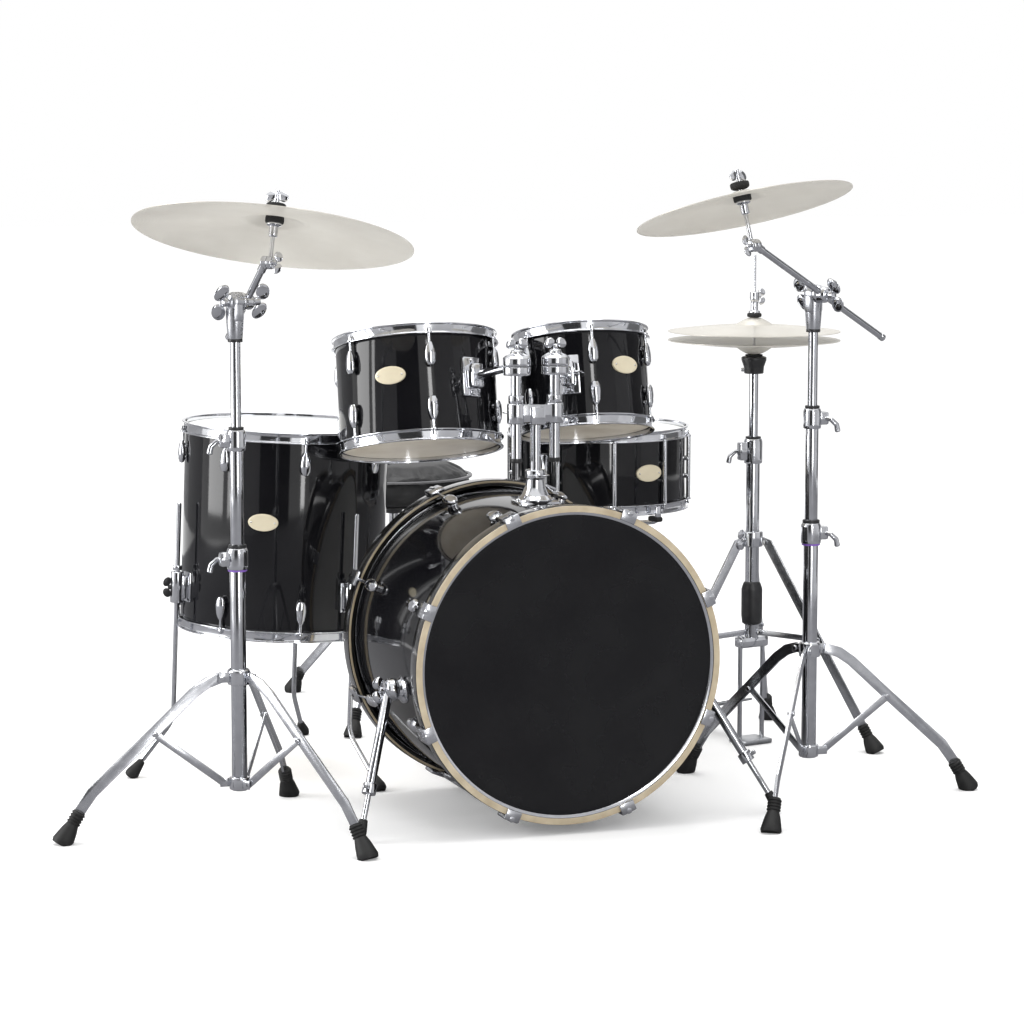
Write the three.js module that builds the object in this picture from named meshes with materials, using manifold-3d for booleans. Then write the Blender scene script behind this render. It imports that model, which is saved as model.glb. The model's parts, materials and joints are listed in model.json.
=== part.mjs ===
// Acoustic drum kit: bass drum with two mounted toms, floor tom, snare drum on its stand,
// hi-hat stand with pedal, two boom stands with cymbals, bass pedal and round throne.
// Units are millimetres, +Z is up and the audience side of the kit faces -Y.

import * as THREE from 'three';
import { mergeVertices } from 'three/addons/utils/BufferGeometryUtils.js';
import Module from 'manifold-3d';

const wasm = await Module();
wasm.setup();

// ---------------------------------------------------------------- driving dimensions

const INCH = 25.4;
const GAP = 0.4;                    // clearance left between neighbouring pieces
const MOVING_FOOT_LIFT = 0.4;       // feet on moving bodies stand this far above the floor

const BASS = {
  shellRadius: 11 * INCH,
  hoopRadius: 295,
  hoopWidth: 38,
  length: 474,                      // outer face of one hoop to the outer face of the other
  axisHeight: 313,
  sides: 36,
};

const MID_TOM = { shellRadius: 6 * INCH, depth: 222, centre: [-153, 441, 778], lean: 14.3, leanTurn: 5 };
const HIGH_TOM = { shellRadius: 5 * INCH, depth: 201, centre: [174, 413, 793], lean: 14.2, leanTurn: 5 };
const FLOOR_TOM = {
  shellRadius: 8 * INCH, depth: 412, centre: [-325, 790, 491], lean: 2.3, leanTurn: 109,
  legTurns: [188, 293, 67], legRadius: 227, legTop: 540, bracketBottom: 341, bracketHeight: 62,
  legBend: 104, footTurns: [184, 289, 68.6], footRadius: 330,
};
const SNARE = { shellRadius: 7 * INCH, depth: 168, centre: [319, 712, 597], lean: 0, leanTurn: 0 };

const RIM = { out: 8, reach: 12, rise: 10, skin: 2, sides: 26 };   // pressed steel hoop and head
const SHELL_WALL = 7;

const TUBE = { base: 14.3, middle: 12.4, bore: 10.2, upper: 9.4, sides: 10 };

const LEFT_STAND = {
  name: 'left', place: [-567, 218], footTurn: 179,
  lowerClampTop: 534, clampTop: 749, boomPivot: 975,
  boomTurn: -74, boomRise: 47, boomReach: 100, boomTail: 96, postToCymbal: 92,
  lean: 15.8, leanTurn: 39, cymbalRadius: 10 * INCH, cymbalBow: 27, bellRise: 17,
};
const RIGHT_STAND = {
  name: 'right', place: [547, 160], footTurn: 354,
  lowerClampTop: 541, clampTop: 760, boomPivot: 972,
  boomTurn: 205, boomRise: 27, boomReach: 217, boomTail: 200, postToCymbal: 104,
  lean: 16, leanTurn: -25.5, cymbalRadius: 8 * INCH, cymbalBow: 20, bellRise: 14,
};
const TRIPOD = {
  collarHeight: 290, bracketHeight: 93,
  footRadius: 333, bootReach: 36, bootHeight: 58, bootRadius: 16, bootNeck: 11,
  legPivot: 32, bracePivot: 28, legWidth: 20, legThickness: 5, braceWidth: 14, braceThickness: 3,
  // [radius from the column, height over the collar] along a leg, and where a brace is pinned to it
  legLine: [[30, 1], [60, -8], [85, -26], [156, -92], [273, -197], [304, -242]],
  braceMeets: [157, -98],
};
const TILTER = { knuckleHalf: 5, knuckleRadius: 11, outerFace: 14, postSide: 9.5, postRadius: 4 };

const HIHAT = {
  place: [658, 702], rimRadius: 7 * INCH, bow: 13, bellRise: 15,
  topRim: 865, seatTop: 817, clampTop: 646, collar: 432, sleeve: [251, 343],
  frameTop: 226, rodTop: 1023, footTurns: [-43, 59, 188], footRadius: 280,
  rodBottom: 730,                   // the rod ends inside the upper tube, clear of the base
  heel: 292, boardHalf: 24, rodRadius: 3, castingHalf: 34, upperTubeInBase: 260,
  pedalTurn: 14,                    // the pedal points from the stand towards the drummer
};

const THRONE = {
  place: [61, 1305], seatRadius: 172, seatTop: 552, seatBottom: 466, footRadius: 338, footTurn: 117.6,
  clampTop: 400, collarHeight: 300, bracketHeight: 90, postBottom: 200, postRadius: 10.6,
};
const SNARE_STAND = {
  footRadius: 240, footTurn: 21, armTurn: 46.5, hubHeight: 455, collarHeight: 250, bracketHeight: 82,
};

const TOM_POST = {
  place: [0, 195], bracketTop: 654, teeBottom: 740, teeTop: 778, tubeSpacing: 38, tubeRadius: 10,
  tubeBottom: 667, ballHeight: 848,
};

const SPUR = { pivot: [292, 150, 262], leftFoot: [377, 54], rightFoot: [425, 45] };

const PEDAL = { shaftHeight: 222, frameHalf: 62, toe: 512, heel: 800, boardHalf: 42, beaterLength: 150 };

// ---------------------------------------------------------------- materials

function finish(color, roughness, metalness = 0) {
  return new THREE.MeshStandardMaterial({ color, roughness, metalness });
}

const CHROME = finish(0xd4d6da, 0.12, 1);
const BLACK_LACQUER = finish(0x08080a, 0.08);
const MAPLE_HOOP = finish(0xc8b48a, 0.3);
const BRONZE = finish(0xe4e0d4, 0.35, 0.4);
const PEDAL_STEEL = finish(0x9a9c9f, 0.35, 1);
const VINYL = finish(0x1a1a1c, 0.6);

// ---------------------------------------------------------------- solid helpers

const rad = THREE.MathUtils.degToRad;
const vec = (point) => new THREE.Vector3(...point);

/** A closed three.js geometry as a manifold, with doubled points merged and faces turned out. */
function toSolid(geometry) {
  const plain = geometry.index ? geometry.toNonIndexed() : geometry.clone();
  plain.deleteAttribute('normal');
  plain.deleteAttribute('uv');
  const merged = mergeVertices(plain, 1e-4);
  const points = merged.attributes.position;
  const corners = merged.index.array;
  const triangles = [];
  let volume = 0;
  const [a, b, c] = [new THREE.Vector3(), new THREE.Vector3(), new THREE.Vector3()];
  for (let i = 0; i < corners.length; i += 3) {
    const [p, q, r] = [corners[i], corners[i + 1], corners[i + 2]];
    if (p === q || q === r || r === p) continue;
    triangles.push([p, q, r]);
    a.fromBufferAttribute(points, p);
    b.fromBufferAttribute(points, q);
    c.fromBufferAttribute(points, r);
    volume += a.dot(b.cross(c));
  }
  const turned = volume < 0 ? triangles.map(([p, q, r]) => [p, r, q]) : triangles;
  return new wasm.Manifold(new wasm.Mesh({
    numProp: 3,
    vertProperties: new Float32Array(points.array),
    triVerts: new Uint32Array(turned.flat()),
  }));
}

function toGeometry(solid) {
  const mesh = solid.getMesh();
  const geometry = new THREE.BufferGeometry();
  geometry.setAttribute('position', new THREE.BufferAttribute(mesh.vertProperties.slice(), 3));
  geometry.setIndex(Array.from(mesh.triVerts));
  return geometry;
}

/** Several overlapping closed geometries as one. */
function join(...geometries) {
  return toGeometry(geometries.map(toSolid).reduce((whole, next) => whole.add(next)));
}

/** The first geometry with all the others taken out of it. */
function cut(geometry, ...tools) {
  return toGeometry(tools.map(toSolid).reduce((whole, tool) => whole.subtract(tool), toSolid(geometry)));
}

/** A round bar, or a cone where the end radius differs, between two points. */
function bar(from, to, radius, endRadius = radius, sides = TUBE.sides) {
  const start = vec(from);
  const along = vec(to).sub(start);
  const geometry = new THREE.CylinderGeometry(endRadius, radius, along.length(), sides);
  geometry.translate(0, along.length() / 2, 0);
  const up = new THREE.Vector3(0, 1, 0);
  geometry.applyQuaternion(new THREE.Quaternion().setFromUnitVectors(up, along.normalize()));
  return geometry.translate(start.x, start.y, start.z);
}

/** A box given by its lowest and highest corners. */
function block(low, high) {
  const size = vec(high).sub(vec(low));
  const middle = vec(low).add(vec(high)).multiplyScalar(0.5);
  return new THREE.BoxGeometry(size.x, size.y, size.z).translate(middle.x, middle.y, middle.z);
}

/** A body of revolution about Z from an outline of [radius, height] points. */
function turned(outline, sides = TUBE.sides) {
  const points = outline.map(([radius, height]) => new THREE.Vector2(radius, height));
  return new THREE.LatheGeometry(points, sides).rotateX(Math.PI / 2);
}

/** A ring about Z with a plain rectangular section. */
function ring(inner, outer, low, high, sides = TUBE.sides) {
  return turned([[inner, low], [outer, low], [outer, high], [inner, high], [inner, low]], sides);
}

/** A flat strip of sheet in the XZ plane that follows a bent line, from y = low to y = high. */
function strip(line, width, low, high) {
  const points = line.map(([x, z]) => new THREE.Vector2(x, z));
  const side = points.map((point, i) => {
    const before = points[Math.max(i - 1, 0)];
    const after = points[Math.min(i + 1, points.length - 1)];
    const along = after.clone().sub(before).normalize();
    return new THREE.Vector2(-along.y, along.x).multiplyScalar(width / 2);
  });
  const upper = points.map((point, i) => point.clone().add(side[i]));
  const lower = points.map((point, i) => point.clone().sub(side[i])).reverse();
  const outline = new THREE.Shape([...upper, ...lower]);
  const sheet = new THREE.ExtrudeGeometry(outline, { depth: high - low, bevelEnabled: false });
  return sheet.rotateX(Math.PI / 2).translate(0, high, 0);
}

// ---------------------------------------------------------------- scene helpers

function frameAt(parent, name, position, turn = 0) {
  const frame = new THREE.Group();
  frame.name = name;
  frame.position.set(...position);
  frame.rotation.z = rad(turn);
  parent.add(frame);
  return frame;
}

function addPiece(parent, name, geometry, material) {
  const mesh = new THREE.Mesh(toGeometry(toSolid(geometry)), material);
  mesh.name = name;
  parent.add(mesh);
}

/** Turns a frame so that its Z axis leans by an angle towards a heading, counted from +Y to +X. */
function leanFrame(frame, lean, heading) {
  frame.rotation.set(rad(-lean), 0, rad(-heading), 'ZXY');
}

/** The point at a radius and a turn about the Z axis. */
function onCircle(radius, turn, height = 0) {
  return [radius * Math.cos(rad(turn)), radius * Math.sin(rad(turn)), height];
}

// ---------------------------------------------------------------- drums

/** A steel hoop with its head, opening upwards from z = 0 at the shell's edge. */
function rimWithHead(shellRadius) {
  const inside = shellRadius + 1;
  const outside = shellRadius + RIM.out;
  return turned([
    [0, GAP], [inside, GAP], [inside, -RIM.reach], [outside, -RIM.reach],
    [outside, RIM.rise], [outside - 4, RIM.rise], [outside - 4, RIM.skin], [0, RIM.skin],
  ], RIM.sides);
}

/** Shell, top and bottom of one drum, centred on its frame. */
function addDrum(frame, name, drum, extras = []) {
  const half = drum.depth / 2 - RIM.rise;
  const shell = ring(drum.shellRadius - SHELL_WALL, drum.shellRadius, -half, half, RIM.sides);
  addPiece(frame, `${name}_shell`, extras.length ? join(shell, ...extras) : shell, BLACK_LACQUER);
  addPiece(frame, `${name}_top`, rimWithHead(drum.shellRadius).translate(0, 0, half), CHROME);
  const under = rimWithHead(drum.shellRadius).rotateX(Math.PI);
  addPiece(frame, `${name}_bottom`, under.translate(0, 0, -half), CHROME);
}

/** Bass drum wooden hoop with its head; z = 0 is the hoop's outer face. */
function bassEnd() {
  const { shellRadius, hoopRadius, hoopWidth, sides } = BASS;
  const headFace = -8;
  return turned([
    [0, headFace], [hoopRadius - 12, headFace], [hoopRadius - 12, 0], [hoopRadius, 0],
    [hoopRadius, -hoopWidth], [shellRadius + 2, -hoopWidth],
    [shellRadius + 2, headFace - 3], [0, headFace - 3],
  ], sides);
}

function addBassDrum(kit) {
  const { shellRadius, length, axisHeight, sides } = BASS;
  const drum = frameAt(kit, 'bass_drum', [0, 0, axisHeight]);
  const edge = 11 + GAP;                                  // shell edge behind the hoop's outer face
  const shell = ring(shellRadius - SHELL_WALL, shellRadius, edge, length - edge, sides).rotateX(-Math.PI / 2);
  const bracket = TOM_POST.bracketTop - axisHeight;
  const [, postY] = TOM_POST.place;
  const socket = cut(
    join(
      block([-42, postY - 30, shellRadius - 9], [42, postY + 30, shellRadius + 5]),
      turned([
        [0, shellRadius + 4], [30, shellRadius + 4], [16, bracket - 14], [16, bracket], [0, bracket],
      ]).translate(0, postY, 0),
    ),
    bar([0, postY, shellRadius + 12], [0, postY, bracket + 1], TOM_POST.tubeRadius + 0.8),
  );
  const mountings = [-1, 1].map((side) => {
    const [x, y, z] = SPUR.pivot;
    const drop = z - axisHeight;
    const onShell = Math.sqrt(shellRadius ** 2 - drop ** 2);
    return bar([side * (onShell - 6), y, drop], [side * (x - 6), y, drop], 20, 17);
  });
  addPiece(drum, 'bass_shell', join(shell, socket, ...mountings), BLACK_LACQUER);
  addPiece(drum, 'bass_front_hoop_head', bassEnd().rotateX(Math.PI / 2), MAPLE_HOOP);
  const rearEnd = bassEnd().rotateX(-Math.PI / 2).translate(0, length, 0);
  addPiece(drum, 'bass_rear_hoop_head', rearEnd, BLACK_LACQUER);
}

/** One folding leg of the bass drum: round hub, thick tube, thin rod and rubber foot. */
function addSpur(kit, name, side) {
  const [x, y, z] = SPUR.pivot;
  const [footX, footY] = side < 0 ? SPUR.leftFoot : SPUR.rightFoot;
  const hinge = frameAt(kit, `${name}_fold`, [side * x, y, z]);
  const foot = [side * (footX - x), footY - y, MOVING_FOOT_LIFT + 9 - z];
  const along = vec(foot).normalize();
  const at = (distance) => along.clone().multiplyScalar(distance).toArray();
  const length = vec(foot).length();
  const outward = side * 9;
  const shifted = (geometry) => geometry.translate(outward, 0, 0);
  addPiece(hinge, name, join(
    bar([side * -5.6, 0, 0], [side * 16, 0, 0], 17),
    shifted(bar(at(4), at(190), 8)),
    shifted(bar(at(182), at(200), 12)),
    shifted(bar(at(190), at(length - 12), 5)),
    shifted(bar(at(length - 34), at(length), 8, 9)),
  ), CHROME);
}

// ---------------------------------------------------------------- mounted toms

/** Post with cross casting that carries two vertical holder tubes beside it. */
function addTomPost(kit) {
  const { place, bracketTop, teeBottom, teeTop, tubeSpacing, tubeRadius } = TOM_POST;
  const slide = frameAt(kit, 'tom_post_height', [...place, bracketTop]);
  const low = teeBottom - bracketTop;
  const high = teeTop - bracketTop;
  const postFoot = BASS.axisHeight + BASS.shellRadius + 50 - bracketTop;
  const casting = block([-tubeSpacing - 17, -16, low], [tubeSpacing + 17, 16, high]);
  const bores = [-1, 1].map((side) => bar(
    [side * tubeSpacing, 0, low - 1], [side * tubeSpacing, 0, high + 1], tubeRadius + 0.8,
  ));
  const post = bar([0, 0, postFoot], [0, 0, low + 5], tubeRadius);
  addPiece(slide, 'tom_post', cut(join(casting, post), ...bores), CHROME);
  return slide;
}

/** Vertical tube in the cross casting with an open ball clamp on top. */
function addTomHolder(post, name, side) {
  const { bracketTop, tubeSpacing, tubeRadius, tubeBottom, ballHeight, teeTop } = TOM_POST;
  const swivel = frameAt(post, `${name}_swivel`, [side * tubeSpacing, 0, ballHeight - bracketTop]);
  const collar = teeTop - ballHeight + GAP;
  addPiece(swivel, name, join(
    bar([0, 0, tubeBottom - ballHeight], [0, 0, -16], tubeRadius),
    ring(tubeRadius - 2, 14, collar, collar + 14),
    block([-18, -28, -19], [18, 9, -10]),
    block([-18, -28, 10], [18, 9, 18]),
    block([-18, -28, -19], [18, -12, 18]),
    bar([0, -6, 16], [0, -6, 34], 14, 8),
    block([-22, -9, 32], [22, -3, 50]),
  ), CHROME);
  return swivel;
}

/** A rack tom on the bent arm that ends in the holder's ball. */
function addRackTom(holder, side, name, drum) {
  const hinge = frameAt(holder, `${name}_tilt`, [0, 0, 0]);
  const ball = [TOM_POST.place[0] + side * TOM_POST.tubeSpacing, TOM_POST.place[1], TOM_POST.ballHeight];
  const centre = vec(drum.centre).sub(vec(ball));
  const frame = frameAt(hinge, name, centre.toArray());
  leanFrame(frame, drum.lean, drum.leanTurn);
  frame.updateMatrix();
  const ballInDrum = centre.clone().negate().applyQuaternion(frame.quaternion.clone().invert());
  const outward = new THREE.Vector3(ballInDrum.x, ballInDrum.y, 0).normalize();
  const onShell = (radius) => outward.clone().multiplyScalar(radius).setZ(ballInDrum.z * 0.9).toArray();
  addDrum(frame, name, drum, [
    bar(onShell(drum.shellRadius - 3), onShell(drum.shellRadius + 26), 24, 15),
    bar(onShell(drum.shellRadius + 20), ballInDrum.toArray(), 6),
    new THREE.SphereGeometry(8.8, 10, 6).translate(...ballInDrum.toArray()),
  ]);
}

// ---------------------------------------------------------------- floor tom and snare

function addFloorTom(kit) {
  const { shellRadius, centre, legTurns, legRadius, bracketBottom, bracketHeight } = FLOOR_TOM;
  const frame = frameAt(kit, 'floor_tom', centre);
  leanFrame(frame, FLOOR_TOM.lean, FLOOR_TOM.leanTurn);
  frame.updateWorldMatrix(true, false);
  const low = bracketBottom - centre[2];
  const high = low + bracketHeight;
  const turns = legTurns.map((turn) => turn + FLOOR_TOM.leanTurn);
  const brackets = turns.map((turn) => join(
    bar(onCircle(legRadius, turn, low), onCircle(legRadius, turn, high), 11.5),
    block([shellRadius - 4, -8, low + 6], [legRadius - 4, 8, high - 6]).rotateZ(rad(turn)),
  ));
  const bores = turns.map((turn) => bar(
    onCircle(legRadius, turn, low - 1), onCircle(legRadius, turn, high + 1), 6.2,
  ));
  addDrum(frame, 'floor_tom', FLOOR_TOM, [cut(join(...brackets), ...bores)]);
  turns.forEach((turn, i) => addFloorTomLeg(frame, i, onCircle(legRadius, turn, low)));
}

/** A bent rod with a rubber tip; its frame is the bottom of the bracket that it slides in. */
function addFloorTomLeg(frame, i, place) {
  const { centre, legTop, bracketBottom, legBend, footRadius, footTurns } = FLOOR_TOM;
  const rod = 4.8;
  const tipHeight = 34;
  const slide = frameAt(frame, `floor_tom_leg_${i + 1}_slide`, place);
  const [footX, footY] = onCircle(footRadius, footTurns[i]);
  const footInKit = vec([centre[0] + footX, centre[1] + footY, 3 * MOVING_FOOT_LIFT]);
  const foot = frame.worldToLocal(footInKit).sub(slide.position).toArray();
  const bend = [0, 0, legBend - bracketBottom];
  addPiece(slide, `floor_tom_leg_${i + 1}`, join(
    bar([0, 0, legTop - bracketBottom], bend, rod),
    new THREE.SphereGeometry(rod, TUBE.sides, 6).rotateX(Math.PI / 2).translate(...bend),
    bar(bend, [foot[0], foot[1], foot[2] + tipHeight / 2], rod),
    turned([[0, 0], [11, 0], [13, 5], [12, 18], [7, tipHeight], [0, tipHeight]]).translate(...foot),
  ), CHROME);
}

/** Three fixed legs with single braces, joined to a hub ring, feet on the floor. */
function fixedTripod(turns, footRadius, collarHeight, bracketHeight, hub) {
  const legLine = [[10, collarHeight], [34, collarHeight - 6], [footRadius - 30, 46], [footRadius - 12, 20]];
  const meetX = 34 + (footRadius - 64) * 0.52;
  const meetZ = collarHeight - 6 - (collarHeight - 52) * 0.52;
  const legs = turns.map((turn) => join(
    strip(legLine, 18, -3, 3),
    strip([[10, bracketHeight], [meetX, meetZ]], 12, -2, 2),
    bar([footRadius - 34, 0, 52], [footRadius - 4, 0, 0.01], 10, 15, 10),
  ).rotateZ(rad(turn)));
  const solid = join(...hub, ...legs);
  return cut(solid, block([-600, -600, -40], [600, 600, 0]));
}

function addSnare(kit) {
  const { centre } = SNARE;
  const stand = frameAt(kit, 'snare_stand', [centre[0], centre[1], 0]);
  const turns = [0, 120, 240].map((turn) => turn + SNARE_STAND.footTurn);
  const hubTop = SNARE_STAND.hubHeight;
  const { footRadius, collarHeight, bracketHeight } = SNARE_STAND;
  addPiece(stand, 'snare_stand_base', fixedTripod(turns, footRadius, collarHeight, bracketHeight, [
    turned([
      [0, 70], [13, 70], [13, 330], [17, 334], [17, 360], [9.5, 364], [9.5, hubTop - 30], [0, hubTop - 30],
    ]),
    ring(11, 22, collarHeight - 12, collarHeight + 12),
    ring(11, 20, bracketHeight - 8, bracketHeight + 10),
    block([-10, -16, hubTop - 34], [10, -8, hubTop + 5]),
  ]), CHROME);
  const tilt = frameAt(stand, 'snare_tilt', [0, 0, hubTop]);
  const hoopBottom = centre[2] - SNARE.depth / 2 - hubTop;
  const reach = SNARE.shellRadius + RIM.out + 12;
  const arms = [0, 120, 240].map((turn) => join(
    strip([[6, 18], [60, 26], [reach - 12, hoopBottom - 16], [reach, hoopBottom - 8]], 10, -4, 4),
    block([reach - 5, -7, hoopBottom - 12], [reach + 9, 7, hoopBottom + 40]),
    block([reach - 24, -7, hoopBottom - 12], [reach + 2, 7, hoopBottom - GAP - 1.5]),
  ).rotateZ(rad(turn + SNARE_STAND.armTurn)));
  addPiece(tilt, 'snare_basket', join(
    bar([0, -7.5, 0], [0, 10, 0], 13),
    bar([0, 0, 4], [0, 0, 30], 7),
    ...arms,
  ), CHROME);
  const drum = frameAt(tilt, 'snare', [0, 0, centre[2] - hubTop]);
  addDrum(drum, 'snare', SNARE);
}

// ---------------------------------------------------------------- cymbals

/** A thin bowed cymbal with a raised bell; z = 0 is the hole at the top of the bell. */
function cymbal(radius, bow, bellRise, holeRadius = 7, sides = 26) {
  const bell = radius * 0.22;
  const thick = 1.6;
  const top = [
    [holeRadius, 0], [bell * 0.62, -bellRise * 0.3], [bell, -bellRise], [radius, -bellRise - bow],
  ];
  const under = [...top].reverse().map(([r, z]) => [r, z - thick]);
  return turned([...top, ...under, top[0]], sides);
}

// ---------------------------------------------------------------- boom stands

/** Base and middle tube with both height clamps and the bottom bracket of the tripod. */
function standColumn(stand) {
  const { lowerClampTop, clampTop } = stand;
  const { bracketHeight, bracePivot, braceThickness, legThickness } = TRIPOD;
  const column = turned([
    [0, bracketHeight - 14], [TUBE.base, bracketHeight - 14], [TUBE.base, lowerClampTop - 50],
    [19, lowerClampTop - 46], [19, lowerClampTop - 4], [TUBE.middle, lowerClampTop],
    [TUBE.middle, clampTop - 54], [17, clampTop - 50], [17, clampTop], [TUBE.bore, clampTop],
    [TUBE.bore, lowerClampTop - 140], [0, lowerClampTop - 140],
  ]);
  const bracket = ring(TUBE.base - 2, 19, bracketHeight - 10, bracketHeight + 10);
  const outside = -legThickness / 2 - 2 * GAP - braceThickness;
  const ears = [0, 120, 240].map((turn) => block(
    [12, outside - GAP - 3, bracketHeight - 8], [bracePivot + 7, outside - GAP, bracketHeight + 8],
  ).rotateZ(rad(turn + stand.footTurn)));
  const leverTurn = stand.name === 'left' ? 180 : 0;
  const lever = block([12, -4, clampTop - 40], [44, 4, clampTop - 22]).rotateZ(rad(leverTurn));
  return join(column, bracket, ...ears, lever);
}

function addTripod(frame, stand) {
  const { name, footTurn } = stand;
  const { collarHeight, bracketHeight, footRadius, legPivot, bracePivot } = TRIPOD;
  const { legWidth, legThickness, braceWidth, braceThickness, bootHeight } = TRIPOD;
  const turns = [0, 120, 240].map((turn) => turn + footTurn);
  const collarFrame = frameAt(frame, `${name}_tripod_fold`, [0, 0, collarHeight]);
  const half = legThickness / 2;
  const ears = turns.map((turn) => block(
    [16, half + GAP, -9], [legPivot + 8, half + GAP + 4, 9],
  ).rotateZ(rad(turn)));
  const sleeve = ring(TUBE.base + 1, 20.5, -14, 15);
  addPiece(collarFrame, `${name}_stand_collar`, join(sleeve, ...ears), CHROME);

  const legLine = TRIPOD.legLine.map(([radius, height]) => [radius - legPivot, height]);
  const [meetRadius, meetHeight] = TRIPOD.braceMeets;
  const meet = [meetRadius - bracePivot, collarHeight + meetHeight - bracketHeight];
  const floorZ = MOVING_FOOT_LIFT - collarHeight;
  const footX = footRadius - legPivot;
  turns.forEach((turn, i) => {
    const legFrame = frameAt(collarFrame, '', [0, 0, 0], turn);
    const legHinge = frameAt(legFrame, `${name}_leg_${i + 1}_hinge`, [legPivot, 0, 0]);
    const boot = bar(
      [footX - TRIPOD.bootReach, 0, floorZ + bootHeight], [footX, 0, floorZ - 8],
      TRIPOD.bootNeck, TRIPOD.bootRadius,
    );
    const floor = block([0, -60, floorZ - 60], [footRadius, 60, floorZ]);
    addPiece(legHinge, `${name}_stand_leg_${i + 1}`, join(
      strip(legLine, legWidth, -half, half),
      cut(boot, floor),
    ), CHROME);

    const braceFrame = frameAt(frame, '', [0, 0, bracketHeight], turn);
    const braceHinge = frameAt(braceFrame, `${name}_brace_${i + 1}_hinge`, [bracePivot, 0, 0]);
    const inner = -half - GAP;
    addPiece(braceHinge, `${name}_stand_brace_${i + 1}`,
      strip([[0, 0], meet], braceWidth, inner - braceThickness, inner), CHROME);
  });
}

function addBoomStand(kit, stand) {
  const { name, clampTop, boomPivot, boomTurn, boomRise, boomReach, boomTail } = stand;
  const frame = frameAt(kit, `${name}_stand`, [...stand.place, 0]);
  addPiece(frame, `${name}_stand_base_tube`, standColumn(stand), CHROME);
  addTripod(frame, stand);

  const lift = frameAt(frame, `${name}_stand_height`, [0, 0, clampTop]);
  const pivot = boomPivot - clampTop;
  const ratchetFace = 9.8;
  const ratchet = bar([0, -9, pivot], [0, ratchetFace, pivot], 18).rotateZ(rad(boomTurn));
  const ratchetWing = join(
    bar([0, -22, pivot], [0, -8, pivot], 5, 7, 8),
    block([-17, -27, pivot - 8], [17, -21, pivot + 8]),
  ).rotateZ(rad(boomTurn));
  addPiece(lift, `${name}_stand_upper_tube`, join(
    bar([0, 0, -170], [0, 0, pivot - 15], TUBE.upper),
    turned([[0, pivot - 62], [13, pivot - 62], [14, pivot - 24], [0, pivot - 18]]),
    ratchet, ratchetWing,
  ), CHROME);

  const boomHinge = frameAt(lift, `${name}_boom_tilt`, [0, 0, pivot], boomTurn);
  const rodSide = 24;
  const rise = rad(boomRise);
  const alongBoom = (distance) => [distance * Math.cos(rise), rodSide, distance * Math.sin(rise)];
  const tip = vec(alongBoom(boomReach));

  const tilter = frameAt(boomHinge, `${name}_tilter`, tip.toArray());
  leanFrame(tilter, stand.lean, stand.leanTurn + boomTurn);
  tilter.updateMatrix();
  const hingeAxis = new THREE.Vector3(1, 0, 0).applyQuaternion(tilter.quaternion);
  const side = hingeAxis.dot(tip.clone().setY(0)) < 0 ? -1 : 1;   // the post's side of the knuckle
  const knuckleEnd = (end) => tip.clone().addScaledVector(hingeAxis, end * TILTER.knuckleHalf).toArray();
  addPiece(boomHinge, `${name}_stand_boom_arm`, join(
    bar([0, ratchetFace + GAP, 0], [0, rodSide, 0], 17),
    bar([0, rodSide - 9, 0], [0, rodSide + 12, 0], 13),
    bar([0, rodSide + 10, 0], [0, rodSide + 24, 0], 6, 6, 8),
    block([-15, rodSide + 22, -8], [15, rodSide + 27, 8]),
    bar(alongBoom(-boomTail), alongBoom(boomReach - 4), 6.3),
    bar(knuckleEnd(-1), knuckleEnd(1), TILTER.knuckleRadius),
  ), CHROME);

  const postSide = side * TILTER.postSide;
  const seat = stand.postToCymbal - 4;
  const top = stand.postToCymbal + 2.5;
  const felt = [[0, seat - 30], [9, seat - 30], [12, seat - 24], [12, seat - 8], [6, seat], [0, seat]];
  const nut = [[0, top], [9, top], [16, top + 6], [16, top + 17], [0, top + 17]];
  addPiece(tilter, `${name}_stand_tilter`, join(
    bar([side * (TILTER.knuckleHalf + GAP), 0, 0], [side * TILTER.outerFace, 0, 0], TILTER.knuckleRadius),
    bar([postSide, 0, 4], [postSide, 0, top + 40], TILTER.postRadius),
    turned(felt).translate(postSide, 0, 0),
    turned(nut).translate(postSide, 0, 0),
    block([postSide - 13, -4, top + 17], [postSide + 13, 4, top + 34]),
  ), CHROME);
  const swing = frameAt(tilter, `${name}_cymbal_swing`, [postSide, 0, stand.postToCymbal]);
  addPiece(swing, `${name}_cymbal`, cymbal(stand.cymbalRadius, stand.cymbalBow, stand.bellRise), BRONZE);
}

// ---------------------------------------------------------------- hi-hat

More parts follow.
